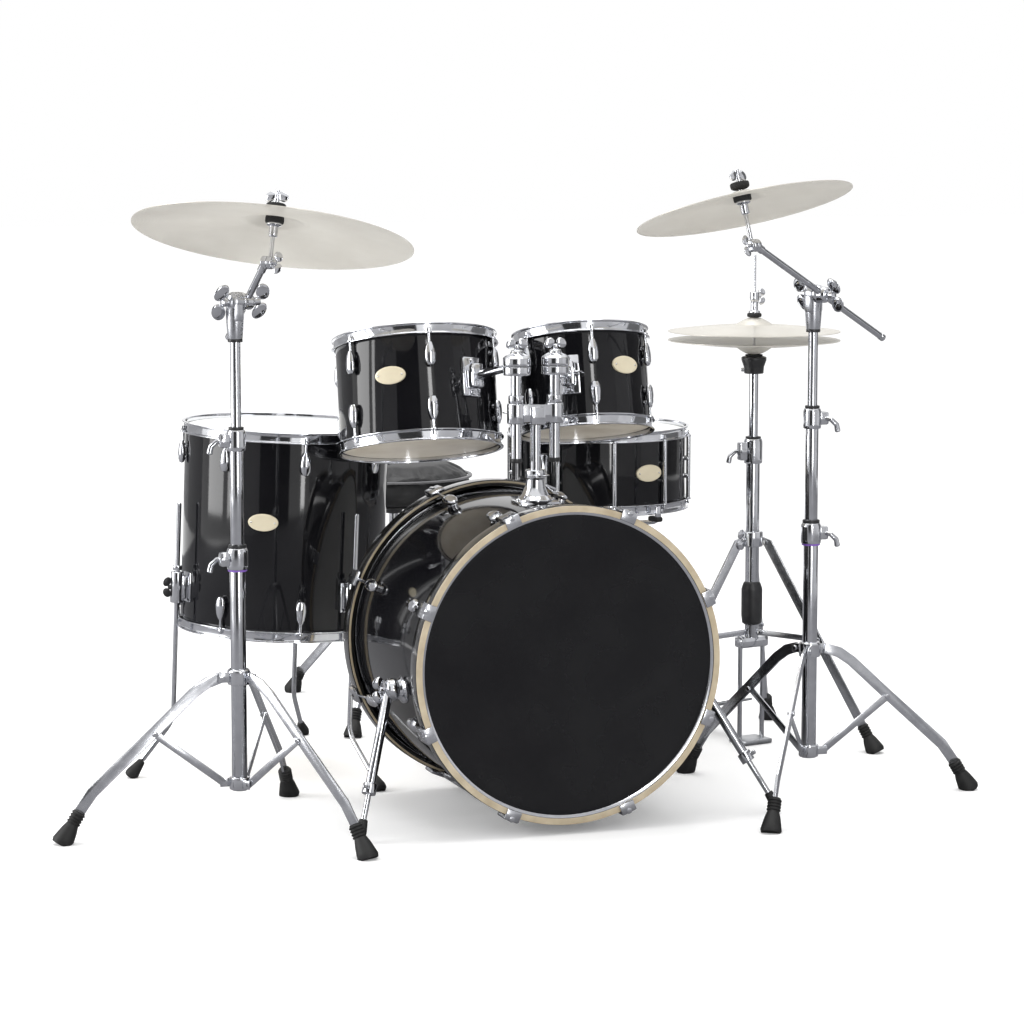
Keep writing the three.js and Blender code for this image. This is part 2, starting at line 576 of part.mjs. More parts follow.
function addHiHat(kit) {
  const { place, clampTop, collar, sleeve, frameTop, seatTop, topRim, rodTop, rodBottom } = HIHAT;
  const { heel, boardHalf, rodRadius, castingHalf, upperTubeInBase } = HIHAT;
  const frame = frameAt(kit, 'hihat', [...place, 0]);
  const casting = [
    block([-castingHalf, -14, frameTop - 24], [castingHalf, 14, frameTop]),
    block([-castingHalf, -9, 8], [-castingHalf + 9, 9, frameTop - 4]),
    block([castingHalf - 9, -9, 8], [castingHalf, 9, frameTop - 4]),
    block([-castingHalf, -30, 0], [castingHalf, 30, 10]),
  ].map((geometry) => geometry.rotateZ(rad(HIHAT.pedalTurn)));
  const column = turned([
    [0, frameTop - 6], [TUBE.base, frameTop - 6], [TUBE.base, sleeve[0]], [20, sleeve[0] + 6],
    [22, sleeve[1] - 14], [TUBE.base, sleeve[1]], [TUBE.base, clampTop - 60], [19, clampTop - 56],
    [19, clampTop - 4], [12, clampTop], [0, clampTop],
  ]);
  const base = fixedTripod(HIHAT.footTurns, HIHAT.footRadius, collar, frameTop + 10, [
    column, ...casting,
    ring(TUBE.base - 2, 22, collar - 16, collar + 16),
    block([-44, -4, clampTop - 40], [-12, 4, clampTop - 22]),
  ]);
  const bore = bar([0, 0, frameTop - 30], [0, 0, clampTop + 1], TUBE.bore);
  addPiece(frame, 'hihat_base', cut(base, bore), CHROME);

  const lift = frameAt(frame, 'hihat_height', [0, 0, clampTop]);
  const seat = seatTop - clampTop;
  const tubeBottom = clampTop - upperTubeInBase;
  addPiece(lift, 'hihat_upper_tube', turned([
    [5, tubeBottom - clampTop], [TUBE.upper, tubeBottom - clampTop], [TUBE.upper, seat - 40], [20, seat - 38],
    [20, seat - 26], [26, seat - 6], [26, seat - 4], [9, seat], [5, seat], [5, tubeBottom - clampTop],
  ]), CHROME);
  const rimDrop = HIHAT.bow + HIHAT.bellRise;
  const bottomBody = cymbal(HIHAT.rimRadius, HIHAT.bow, HIHAT.bellRise, 9.5).rotateX(Math.PI);
  addPiece(lift, 'hihat_bottom_cymbal', bottomBody.translate(0, 0, seat + GAP), BRONZE);

  const rodSlide = frameAt(lift, 'hihat_rod_slide', [0, 0, topRim - clampTop]);
  const clutch = rimDrop + GAP;
  addPiece(rodSlide, 'hihat_rod', join(
    bar([0, 0, rodBottom - topRim], [0, 0, rodTop - topRim], rodRadius, rodRadius, 8),
    turned([
      [0, clutch], [15, clutch], [15, clutch + 8], [9, clutch + 10], [9, clutch + 50], [0, clutch + 54],
    ]),
    block([4, -2.5, clutch + 34], [26, 2.5, clutch + 48]),
  ), CHROME);
  const topBody = cymbal(HIHAT.rimRadius, HIHAT.bow, HIHAT.bellRise, 6);
  addPiece(rodSlide, 'hihat_top_cymbal', topBody.translate(0, 0, rimDrop), BRONZE);

  const pedal = frameAt(frame, 'hihat_pedal', [0, 0, 0], HIHAT.pedalTurn);
  const hinge = frameAt(pedal, 'hihat_footboard_hinge', [0, heel, 16]);
  const boardRise = Math.tan(rad(15));
  const toeY = -(heel - 26);
  const board = strip([[0, 0], [-toeY, -toeY * boardRise]], 5, -boardHalf, boardHalf).rotateZ(-Math.PI / 2);
  const heelPlate = bar([-boardHalf, 0, 0], [boardHalf, 0, 0], 6, 6, 8);
  addPiece(hinge, 'hihat_footboard', join(board, heelPlate), PEDAL_STEEL);
}

// ---------------------------------------------------------------- bass pedal

function addPedal(kit) {
  const { shaftHeight, frameHalf, toe, heel, boardHalf, beaterLength } = PEDAL;
  const frame = frameAt(kit, 'bass_pedal', [0, 0, 0]);
  const hoopBottom = BASS.axisHeight - BASS.hoopRadius;
  const plate = block([-frameHalf, BASS.length - 34, 0], [frameHalf, heel + 26, 5]);
  const clampPad = block([-24, BASS.length - 34, 0], [24, BASS.length + 10, hoopBottom - GAP]);
  const posts = [-1, 1].map((side) => {
    const inner = side * (frameHalf - 12);
    const outer = side * frameHalf;
    return block([Math.min(inner, outer), toe - 12, 0], [Math.max(inner, outer), toe + 12, shaftHeight + 16]);
  });
  const bores = bar([-frameHalf - 1, toe, shaftHeight], [frameHalf + 1, toe, shaftHeight], 6.6);
  const heelBlocks = [-1, 1].map((side) => {
    const inner = side * (boardHalf + GAP);
    const outer = side * (boardHalf + 12);
    return block([Math.min(inner, outer), heel - 14, 0], [Math.max(inner, outer), heel + 14, 30]);
  });
  addPiece(frame, 'pedal_frame', cut(join(plate, clampPad, ...posts, ...heelBlocks), bores), PEDAL_STEEL);

  const hinge = frameAt(frame, 'pedal_footboard_hinge', [0, heel, 18]);
  const length = heel - toe - 22;
  const board = strip([[0, 0], [length, length * Math.tan(rad(15))]], 5, -boardHalf + 4, boardHalf - 4);
  addPiece(hinge, 'pedal_footboard', join(
    board.rotateZ(-Math.PI / 2),
    bar([-boardHalf, 0, 0], [boardHalf, 0, 0], 6, 6, 8),
  ), PEDAL_STEEL);

  const beater = frameAt(frame, 'pedal_beater_swing', [0, toe, shaftHeight]);
  const back = rad(42);
  const at = (distance) => [0, distance * Math.sin(back), distance * Math.cos(back)];
  const [, ballY, ballZ] = at(beaterLength);
  addPiece(beater, 'pedal_beater', join(
    bar([-frameHalf + 2, 0, 0], [frameHalf - 2, 0, 0], 5.6, 5.6, 10),
    ring(4, 20, -7, 7, 16).rotateY(Math.PI / 2),
    bar(at(4), at(beaterLength), 3.5, 3.5, 8),
    bar([0, ballY - 22, ballZ - 20], [0, ballY + 14, ballZ + 14], 20),
  ), PEDAL_STEEL);
}

// ---------------------------------------------------------------- throne

function addThrone(kit) {
  const { place, seatRadius, seatTop, seatBottom, footRadius, footTurn } = THRONE;
  const { clampTop, collarHeight, bracketHeight, postBottom, postRadius } = THRONE;
  const frame = frameAt(kit, 'throne', [...place, 0]);
  const turns = [0, 120, 240].map((turn) => turn + footTurn);
  const base = fixedTripod(turns, footRadius, collarHeight, bracketHeight, [
    turned([[0, 76], [15, 76], [15, clampTop - 40], [22, clampTop - 36], [22, clampTop], [0, clampTop]]),
    ring(13, 24, collarHeight - 16, collarHeight + 18),
    ring(13, 22, bracketHeight - 10, bracketHeight + 12),
  ]);
  const bore = bar([0, 0, postBottom - 60], [0, 0, clampTop + 1], postRadius + 1);
  addPiece(frame, 'throne_base', cut(base, bore), CHROME);
  const lift = frameAt(frame, 'throne_height', [0, 0, seatBottom]);
  const thick = seatTop - seatBottom;
  const post = bar([0, 0, postBottom - seatBottom], [0, 0, 2], postRadius);
  const mount = turned([[0, -26], [18, -26], [24, -8], [70, 0], [70, 2], [0, 2]], 16);
  const cushion = turned([
    [0, 0], [seatRadius - 14, 0], [seatRadius, 14], [seatRadius, thick - 26],
    [seatRadius - 14, thick - 6], [seatRadius - 50, thick], [0, thick],
  ], RIM.sides);
  addPiece(lift, 'throne_seat', join(post, mount, cushion), VINYL);
}

// ---------------------------------------------------------------- the kit

const kit = new THREE.Group();
kit.name = 'drum_kit';
addBassDrum(kit);
addSpur(kit, 'bass_spur_left', -1);
addSpur(kit, 'bass_spur_right', 1);
const tomPost = addTomPost(kit);
addRackTom(addTomHolder(tomPost, 'tom_holder_left', -1), -1, 'mid_tom', MID_TOM);
addRackTom(addTomHolder(tomPost, 'tom_holder_right', 1), 1, 'high_tom', HIGH_TOM);
addFloorTom(kit);
addSnare(kit);
addBoomStand(kit, LEFT_STAND);
addBoomStand(kit, RIGHT_STAND);
addHiHat(kit);
addPedal(kit);
addThrone(kit);

const extent = new THREE.Box3().setFromObject(kit, true);
const middle = extent.getCenter(new THREE.Vector3());
kit.position.set(-middle.x, -middle.y, 0);

export default kit;
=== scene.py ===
"""Looks of the acoustic drum kit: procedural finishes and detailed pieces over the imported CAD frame."""
import json
import math

import bmesh
import bpy
from mathutils import Matrix, Vector

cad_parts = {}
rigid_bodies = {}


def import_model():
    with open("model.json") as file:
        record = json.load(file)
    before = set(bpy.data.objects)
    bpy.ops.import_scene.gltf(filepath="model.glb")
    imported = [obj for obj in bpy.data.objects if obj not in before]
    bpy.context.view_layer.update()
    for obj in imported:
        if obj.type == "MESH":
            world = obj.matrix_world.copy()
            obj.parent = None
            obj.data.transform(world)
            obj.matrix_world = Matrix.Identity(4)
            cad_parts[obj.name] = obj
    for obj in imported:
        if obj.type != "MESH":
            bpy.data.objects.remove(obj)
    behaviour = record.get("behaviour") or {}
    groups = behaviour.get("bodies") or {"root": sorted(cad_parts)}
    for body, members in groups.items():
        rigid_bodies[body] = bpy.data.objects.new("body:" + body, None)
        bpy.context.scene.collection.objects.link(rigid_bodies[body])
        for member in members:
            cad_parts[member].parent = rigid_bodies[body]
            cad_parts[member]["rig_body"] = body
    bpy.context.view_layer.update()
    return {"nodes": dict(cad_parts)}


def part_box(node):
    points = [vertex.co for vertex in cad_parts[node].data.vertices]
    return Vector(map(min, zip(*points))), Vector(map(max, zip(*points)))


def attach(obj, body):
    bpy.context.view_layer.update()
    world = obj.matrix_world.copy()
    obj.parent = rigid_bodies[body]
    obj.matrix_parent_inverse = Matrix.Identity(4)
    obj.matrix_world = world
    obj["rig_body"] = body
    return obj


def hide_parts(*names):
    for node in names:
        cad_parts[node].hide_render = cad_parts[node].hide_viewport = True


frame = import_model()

# ------------------------------------------------------------------ driving dimensions, millimetres

MM = 0.001
INCH = 25.4
BASS = dict(shell=11 * INCH, hoop=295, width=38, length=474, axis=313)
MID_TOM = dict(name="mid_tom", shell=6 * INCH, depth=222, centre=(-153, 441, 778), lean=14.3, heading=5,
               lugs=6, first_lug=-7.3, badge=(-36, 16), side=-1)
HIGH_TOM = dict(name="high_tom", shell=5 * INCH, depth=201, centre=(174, 413, 793), lean=14.2, heading=5,
                lugs=6, first_lug=-10.2, badge=(20, 15), side=1)
FLOOR_TOM = dict(name="floor_tom", shell=8 * INCH, depth=412, centre=(-325, 790, 491), lean=2.3, heading=109,
                 lugs=8, first_lug=-4.9, badge=(-27, 29))
SNARE = dict(name="snare", shell=7 * INCH, depth=168, centre=(319, 712, 597), lean=0, heading=0,
             lugs=10, first_lug=-10.5, badge=(14, 0))
LEG_ROD = dict(turns=(188, 293, 67), radius=227, top=540, bracket=341, height=62, bend=104,
               feet=(184, 289, 68.6), foot_radius=330, thick=4.8)
RIM_RISE = 10
BALL_HEIGHT = 848
TOM_POST = dict(x=0, y=195, top=654, tee=(740, 778), spacing=38, tube=10, tube_low=667)
TUBE = dict(base=14.3, middle=12.4, upper=9.4)
LEFT_STAND = dict(name="left", place=(-567, 218), foot_turn=179, lower=534, clamp=749, pivot=975, boom_turn=-74,
                  rise=47, reach=100, tail=96, post=92, lean=15.8, heading=39, cymbal=10 * INCH, bow=27,
                  bell=17, lever=180)
RIGHT_STAND = dict(name="right", place=(547, 160), foot_turn=354, lower=541, clamp=760, pivot=972, boom_turn=205,
                   rise=27, reach=217, tail=200, post=104, lean=16, heading=-25.5, cymbal=8 * INCH, bow=20,
                   bell=14, lever=0)
TRIPOD = dict(collar=290, bracket=93, foot=333, leg_pivot=32, brace_pivot=28, boot_reach=36, boot_height=58,
              leg_line=((30, 1), (60, -8), (85, -26), (156, -92), (273, -197), (304, -242)),
              brace_meets=(157, -98))
HIHAT = dict(place=(658, 702), rim=7 * INCH, bow=13, bell=15, top_rim=865, seat=817, clamp=646, collar=432,
             sleeve=(251, 343), frame_top=226, rod_top=1023, feet=(-43, 59, 188), foot_radius=280, turn=14)
THRONE = dict(place=(61, 1305), radius=172, top=552, bottom=466, foot_radius=338, foot_turn=117.6, clamp=400)
SNARE_STAND = dict(foot_radius=240, foot_turn=21, arm_turn=46.5, hub=455)
SPURS = dict(left=(-1, (377, 54)), right=(1, (425, 45)))
SPUR_PIVOT = (292, 150, 262)
PEDAL = dict(shaft=222, half=62, toe=512, heel=800, board=42, beater=150)

hoop_low, hoop_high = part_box("bass_front_hoop_head")
KIT = Vector(((hoop_low.x + hoop_high.x) / 2, hoop_low.y, 0)) / MM      # kit origin in the row frame


# ------------------------------------------------------------------ placing

def turn(degrees, axis="Z"):
    return Matrix.Rotation(math.radians(degrees), 4, axis)


def shift(x, y=0, z=0):
    return Matrix.Translation((x, y, z))


def at(x, y, z=0.0, degrees=0.0):
    return Matrix.Translation(KIT) @ shift(x, y, z) @ turn(degrees)


def lean(angle, heading):
    return turn(-heading) @ turn(-angle, "X")


def facing(start, end):
    """A frame at start whose Z axis points to end."""
    start, end = Vector(start), Vector(end)
    rotation = (end - start).to_track_quat("Z", "Y").to_matrix().to_4x4()
    return Matrix.Translation(start) @ rotation


def polar(radius, degrees, z=0.0):
    angle = math.radians(degrees)
    return Vector((radius * math.cos(angle), radius * math.sin(angle), z))


# ------------------------------------------------------------------ finishes

def nodes_of(name):
    material = bpy.data.materials.new(name)
    material.use_nodes = True
    tree = material.node_tree
    return material, tree, tree.nodes["Principled BSDF"]


def noise(tree, scale, detail=4.0, coordinates=None):
    texture = tree.nodes.new("ShaderNodeTexNoise")
    texture.inputs["Scale"].default_value = scale
    texture.inputs["Detail"].default_value = detail
    tree.links.new(coordinates or tree.nodes.new("ShaderNodeTexCoord").outputs["Object"], texture.inputs["Vector"])
    return texture


def ranged(tree, value, low, high):
    """A 0 to 1 value brought to the range low to high."""
    node = tree.nodes.new("ShaderNodeMapRange")
    node.inputs["To Min"].default_value = low
    node.inputs["To Max"].default_value = high
    tree.links.new(value, node.inputs["Value"])
    return node.outputs["Result"]


def bumped(tree, shader, height, strength, distance=0.0005):
    bump = tree.nodes.new("ShaderNodeBump")
    bump.inputs["Strength"].default_value = strength
    bump.inputs["Distance"].default_value = distance
    tree.links.new(height, bump.inputs["Height"])
    tree.links.new(bump.outputs["Normal"], shader.inputs["Normal"])


def tinted(tree, shader, value, dark, light):
    ramp = tree.nodes.new("ShaderNodeValToRGB")
    ramp.color_ramp.elements[0].color = (*dark, 1)
    ramp.color_ramp.elements[1].color = (*light, 1)
    ramp.color_ramp.elements[0].position = 0.3
    ramp.color_ramp.elements[1].position = 0.7
    tree.links.new(value, ramp.inputs["Fac"])
    tree.links.new(ramp.outputs["Color"], shader.inputs["Base Color"])


def finish(name, dark, light, roughness, metallic=0.0, grain=60.0, bump_scale=900.0, bump=0.05, coat=0.0,
           specular=0.5):
    """A finish with uneven colour and roughness and a fine surface grain."""
    material, tree, shader = nodes_of(name)
    broad = noise(tree, grain).outputs["Fac"]
    fine = noise(tree, bump_scale, 6).outputs["Fac"]
    tinted(tree, shader, broad, dark, light)
    tree.links.new(ranged(tree, broad, *roughness), shader.inputs["Roughness"])
    shader.inputs["Metallic"].default_value = metallic
    shader.inputs["Coat Weight"].default_value = coat
    shader.inputs["Coat Roughness"].default_value = 0.04
    shader.inputs["Specular IOR Level"].default_value = specular
    bumped(tree, shader, fine, bump)
    return material


def wood(name, dark, light):
    material, tree, shader = nodes_of(name)
    place = tree.nodes.new("ShaderNodeTexCoord")
    stretch = tree.nodes.new("ShaderNodeMapping")
    stretch.inputs["Scale"].default_value = (1, 14, 1)
    tree.links.new(place.outputs["Object"], stretch.inputs["Vector"])
    grain = noise(tree, 30, 8, stretch.outputs["Vector"]).outputs["Fac"]
    tinted(tree, shader, grain, dark, light)
    tree.links.new(ranged(tree, grain, 0.18, 0.3), shader.inputs["Roughness"])
    shader.inputs["Coat Weight"].default_value = 0.7
    bumped(tree, shader, grain, 0.06)
    return material


def lathed_bronze(name):
    """Pale bronze with turned grooves that follow the radius stored in the mesh."""
    material, tree, shader = nodes_of(name)
    radius = tree.nodes.new("ShaderNodeAttribute")
    radius.attribute_name = "radius"
    groove = tree.nodes.new("ShaderNodeMath")
    groove.operation = "SINE"
    step = tree.nodes.new("ShaderNodeMath")
    step.operation = "MULTIPLY"
    step.inputs[1].default_value = 2.6
    tree.links.new(radius.outputs["Fac"], step.inputs[0])
    tree.links.new(step.outputs["Value"], groove.inputs[0])
    cloud = noise(tree, 9).outputs["Fac"]
    tinted(tree, shader, cloud, (0.6, 0.57, 0.51), (0.7, 0.675, 0.615))
    tree.links.new(ranged(tree, cloud, 0.28, 0.42), shader.inputs["Roughness"])
    shader.inputs["Metallic"].default_value = 0.35
    shader.inputs["Alpha"].default_value = 0.72
    bumped(tree, shader, groove.outputs["Value"], 0.25)
    return material


def sheer_head(name):
    material, tree, shader = nodes_of(name)
    cloud = noise(tree, 25).outputs["Fac"]
    tinted(tree, shader, cloud, (0.62, 0.55, 0.45), (0.72, 0.66, 0.56))
    tree.links.new(ranged(tree, cloud, 0.3, 0.45), shader.inputs["Roughness"])
    bumped(tree, shader, noise(tree, 700).outputs["Fac"], 0.08)
    return material


FINISH = {
    "chrome": finish("chrome", (0.68, 0.69, 0.72), (0.76, 0.77, 0.8), (0.05, 0.12), 1.0, bump=0.03),
    "chrome_tube": finish("chrome_tube", (0.62, 0.63, 0.66), (0.7, 0.71, 0.74), (0.06, 0.13), 1.0, bump=0.03),
    "plated_strip": finish("plated_strip", (0.6, 0.61, 0.64), (0.72, 0.73, 0.76), (0.16, 0.28), 1.0, bump=0.08),
    "pedal_steel": finish("pedal_steel", (0.42, 0.43, 0.45), (0.56, 0.57, 0.59), (0.25, 0.42), 1.0, bump=0.2),
    "black_lacquer": finish("black_lacquer", (0.003, 0.003, 0.004), (0.006, 0.006, 0.007), (0.04, 0.09),
                            grain=12, bump_scale=300, bump=0.02, specular=0.45),
    "black_hoop": finish("black_hoop", (0.004, 0.004, 0.004), (0.012, 0.011, 0.01), (0.1, 0.18), coat=0.8),
    "black_head": finish("black_head", (0.004, 0.004, 0.005), (0.007, 0.007, 0.008), (0.22, 0.32), grain=8,
                         specular=0.25),
    "drum_head": finish("drum_head", (0.82, 0.82, 0.8), (0.9, 0.9, 0.88), (0.45, 0.6), grain=15, bump=0.2),
    "rubber": finish("rubber", (0.005, 0.005, 0.005), (0.011, 0.011, 0.011), (0.5, 0.7), grain=90, bump=0.3),
    "black_plastic": finish("black_plastic", (0.012, 0.012, 0.013), (0.02, 0.02, 0.022), (0.3, 0.42)),
    "felt": finish("felt", (0.008, 0.008, 0.008), (0.022, 0.022, 0.022), (0.85, 0.95), grain=300, bump=0.8),
    "seat_vinyl": finish("seat_vinyl", (0.006, 0.006, 0.007), (0.012, 0.012, 0.013), (0.4, 0.55), grain=40,
                         bump_scale=1400, bump=0.45),
    "badge": finish("badge", (0.62, 0.55, 0.4), (0.74, 0.67, 0.5), (0.25, 0.35), 0.3, grain=14),
    "maple_hoop": wood("maple_hoop", (0.33, 0.27, 0.18), (0.45, 0.38, 0.27)),
    "cymbal_bronze": lathed_bronze("cymbal_bronze"),
}
SHEER_HEAD = sheer_head("sheer_head")
SATIN = finish("satin_casting", (0.52, 0.53, 0.56), (0.62, 0.63, 0.66), (0.22, 0.34), 1.0, bump=0.12)
# Seat piping: a grey far lighter than the black seat vinyl, a painted highlight along the seam.
PIPING_PAINTED_HIGHLIGHT = finish("seat_piping_painted_highlight", (0.1, 0.1, 0.105), (0.15, 0.15, 0.155), (0.35, 0.5))
PURPLE = finish("purple_ring", (0.12, 0.05, 0.3), (0.2, 0.09, 0.42), (0.3, 0.4))


# ------------------------------------------------------------------ shaping

def soften(outline, radius, closed=True):
    """Rounds the corners of a [radius, height] outline; corners on the axis stay sharp."""
    count = len(outline)
    points = []
    for i, corner in enumerate(outline):
        here = Vector(corner)
        ends = not closed and i in (0, count - 1)
        if ends or here.x < 1e-6:
            points.append(tuple(here))
            continue
        before, after = Vector(outline[i - 1]), Vector(outline[(i + 1) % count])
        cut = min(radius, (before - here).length * 0.45, (after - here).length * 0.45)
        start = here + (before - here).normalized() * cut
        end = here + (after - here).normalized() * cut
        for t in (0, 0.33, 0.67, 1):
            points.append(tuple(start * (1 - t) ** 2 + here * 2 * t * (1 - t) + end * t * t))
    return points


class Assembly:
    """Pieces that ride with one CAD node's body; each finish becomes a piece of its own."""

    def __init__(self, name, *nodes):
        self.name = name
        self.nodes = nodes
        self.meshes = {}

    def _mesh(self, slot):
        if slot not in self.meshes:
            mesh = bmesh.new()
            mesh.verts.layers.float.new("radius")
            self.meshes[slot] = mesh
        return self.meshes[slot]

    def lathe(self, place, outline, slot, segments=64, closed=False):
        mesh = self._mesh(slot)
        layer = mesh.verts.layers.float["radius"]
        rings = []
        for radius, height in outline:
            count = 1 if radius < 1e-6 else segments
            ring = []
            for i in range(count):
                vertex = mesh.verts.new(place @ polar(radius, 360 * i / count, height))
                vertex[layer] = radius
                ring.append(vertex)
            rings.append(ring)
        pairs = list(zip(rings, rings[1:])) + ([(rings[-1], rings[0])] if closed else [])
        for one, two in pairs:
            for i in range(segments):
                j = (i + 1) % segments
                corners = [one[i % len(one)], one[j % len(one)], two[j % len(two)], two[i % len(two)]]
                distinct = list(dict.fromkeys(corners))
                if len(distinct) > 2:
                    mesh.faces.new(distinct)

    def disc(self, place, outline, slot, soft=1.0, segments=64):
        """A turned solid from an outline that starts and ends on the axis."""
        self.lathe(place, soften(outline, soft, closed=False), slot, segments)

    def ring(self, place, outline, slot, soft=1.0, segments=64):
        """A turned ring from a closed outline."""
        self.lathe(place, soften(outline, soft), slot, segments, closed=True)

    def rod(self, points, radius, slot, end_radius=None, sides=24, dome=True):
        """A round bar through points, with rounded ends."""
        points = [Vector(point) for point in points]
        mesh = self._mesh(slot)
        lengths = [0.0]
        for one, two in zip(points, points[1:]):
            lengths.append(lengths[-1] + (two - one).length)
        radii = [radius + ((end_radius or radius) - radius) * length / lengths[-1] for length in lengths]
        way = (points[1] - points[0]).normalized()
        side = way.orthogonal().normalized()
        rings = []
        stations = list(zip(points, radii))
        if dome:
            first, last = min(2.0, radii[0] * 0.4), min(2.0, radii[-1] * 0.4)
            tail = (points[-1] - points[-2]).normalized()
            stations = ([(points[0], radii[0] - first), (points[0] + way * first, radii[0])]
                        + stations[1:-1]
                        + [(points[-1] - tail * last, radii[-1]), (points[-1], radii[-1] - last)])
        for i, (point, thick) in enumerate(stations):
            before, after = stations[max(i - 1, 0)][0], stations[min(i + 1, len(stations) - 1)][0]
            along = (after - before).normalized()
            side = (side - along * side.dot(along)).normalized()
            across = along.cross(side)
            rings.append([mesh.verts.new(point + (side * math.cos(a) + across * math.sin(a)) * thick)
                          for a in (2 * math.pi * k / sides for k in range(sides))])
        for one, two in zip(rings, rings[1:]):
            for i in range(sides):
                j = (i + 1) % sides
                mesh.faces.new((one[i], one[j], two[j], two[i]))
        mesh.faces.new(rings[0][::-1])
        mesh.faces.new(rings[-1])

    def block(self, place, low, high, slot, soft=2.0):
        """A box between two corners with rounded edges."""
        low, high = Vector(low), Vector(high)
        corners = [Vector((x, y, z)) for x in (low.x, high.x) for y in (low.y, high.y) for z in (low.z, high.z)]
        self._solid(place, corners, ((0, 1, 3, 2), (4, 6, 7, 5), (0, 4, 5, 1), (2, 3, 7, 6), (0, 2, 6, 4),
                                     (1, 5, 7, 3)), slot, min(soft, min(high - low) * 0.4))

    def _solid(self, place, corners, faces, slot, soft):
        mesh = self._mesh(slot)
        verts = [mesh.verts.new(place @ corner) for corner in corners]
        made = [mesh.faces.new([verts[i] for i in face]) for face in faces]
        edges = list({edge for face in made for edge in face.edges})
        if soft > 0:
            bmesh.ops.bevel(mesh, geom=edges, offset=soft, segments=2, affect="EDGES", profile=0.5)

    def strip(self, place, line, width, low, high, slot, soft=0.8):
        """A flat strip in the XZ plane along a bent line, from y = low to y = high."""
        points = [Vector((x, 0, z)) for x, z in line]
        upper, lower = [], []
        for i, point in enumerate(points):
            along = (points[min(i + 1, len(points) - 1)] - points[max(i - 1, 0)]).normalized()
            side = Vector((-along.z, 0, along.x)) * width / 2
            upper.append(point + side)
            lower.append(point - side)
        outline = upper + lower[::-1]
        count = len(outline)
        corners = [p + Vector((0, low, 0)) for p in outline] + [p + Vector((0, high, 0)) for p in outline]
        faces = [tuple(range(count)), tuple(reversed(range(count, 2 * count)))]
        faces += [(i, (i + 1) % count, count + (i + 1) % count, count + i) for i in range(count)]
        self._solid(place, corners, faces, slot, soft)

    def ball(self, place, radius, slot, stretch=(1, 1, 1)):
        size = Matrix.Diagonal((*(radius * s for s in stretch), 1))
        bmesh.ops.create_uvsphere(self._mesh(slot), u_segments=24, v_segments=14, radius=1, matrix=place @ size)

    def wing(self, place, size, slot="chrome"):
        """A wing bolt on the Z axis of place: neck, hub and two raised ears."""
        self.disc(place, [(0, -2), (size * 0.3, -2), (size * 0.34, size * 0.5), (0, size * 0.6)], slot, 1, 20)
        for way in (-1, 1):
            ear = place @ shift(way * size * 0.78, 0, size * 0.7) @ turn(way * 38, "Y")
            self.ball(ear, size * 0.62, slot, (1.15, 0.26, 0.9))

    def bolt(self, place, radius, length, slot="chrome"):
        self.disc(place, [(0, -1), (radius, -1), (radius, length), (0, length)], slot, radius * 0.3, 20)

    def lug(self, place, height, width, depth=13):
        """A teardrop lug standing off a shell: X of place points outwards and Z runs along the rod."""
        shape = place @ Matrix.Diagonal((depth / width, 1, 1, 1))
        half = height / 2
        outline = [(0, -half), (width * 0.2, -half * 0.96), (width * 0.4, -half * 0.55), (width * 0.5, half * 0.1),
                   (width * 0.46, half * 0.62), (width * 0.28, half * 0.92), (0, half)]
        self.lathe(shape, outline, "chrome", 24)
        for step in (-0.5, 0.45):
            foot = place @ shift(-depth * 0.75, 0, half * step) @ turn(90, "Y")
            self.bolt(foot, width * 0.26, depth * 0.6)

    def done(self, materials=None, material_of=None):
        made = []
        for slot, mesh in self.meshes.items():
            for vertex in mesh.verts:
                vertex.co *= MM
                vertex.co.z = max(vertex.co.z, 0.0003)
            bmesh.ops.recalc_face_normals(mesh, faces=mesh.faces)
            name = f"{self.name}_{slot}"
            data = bpy.data.meshes.new(name)
            mesh.to_mesh(data)
            mesh.free()
            data.shade_smooth()
            data.set_sharp_from_angle(angle=math.radians(34))
            data.materials.append((material_of or {}).get(slot) or FINISH[slot])
            piece = bpy.data.objects.new(name, data)
            bpy.context.scene.collection.objects.link(piece)
            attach(piece, frame["nodes"][self.nodes[0]]["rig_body"])
            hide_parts(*self.nodes)
            made.append(piece)
        return made


# ------------------------------------------------------------------ drums

def drum_place(drum):
    return at(*drum["centre"]) @ lean(drum["lean"], drum["heading"])


def flanged_hoop(drum, place, shell):
    """A pressed hoop with ears flange, wall and rolled lip; z = 0 is the shell's edge."""
    outline = [(shell + 0.8, -9), (shell + 8.5, -11), (shell + 8.5, -8.6), (shell + 3.4, -7), (shell + 3.2, 6.5),
               (shell + 6.6, 7.6), (shell + 6.8, 10), (shell + 0.8, 10)]
    drum.ring(place, outline, "chrome", 0.9, 96)


def tension_rod(drum, place, radius, top, bottom):
    """A square-headed rod down from a hoop's ear."""
    drum.block(place @ shift(radius, 0, top), (-3, -3, -1), (3, 3, 8), "chrome", 0.8)
    drum.disc(place @ shift(radius, 0, top), [(0, -4), (6.4, -4), (6.4, -1), (0, -1)], "chrome", 0.5, 20)
    drum.rod([place @ Vector((radius, 0, top)), place @ Vector((radius, 0, bottom))], 2.8, "chrome", sides=12)


def badge_on(drum, place, radius, angle, height, size=(30, 17)):
    """A blank oval plate with two pins on the shell."""
    spot = place @ turn(angle) @ shift(radius + 0.4, 0, height) @ turn(90, "Y")
    plate = spot @ Matrix.Diagonal((size[1] / size[0], 1, 1, 1))
    drum.disc(plate, [(0, -3), (size[0], -3), (size[0], 1.2), (size[0] * 0.86, 2), (0, 2)], "badge", 0.6, 48)
    for side in (-1, 1):
        drum.ball(spot @ shift(0, side * size[0] * 0.78, 2), 1.8, "chrome")


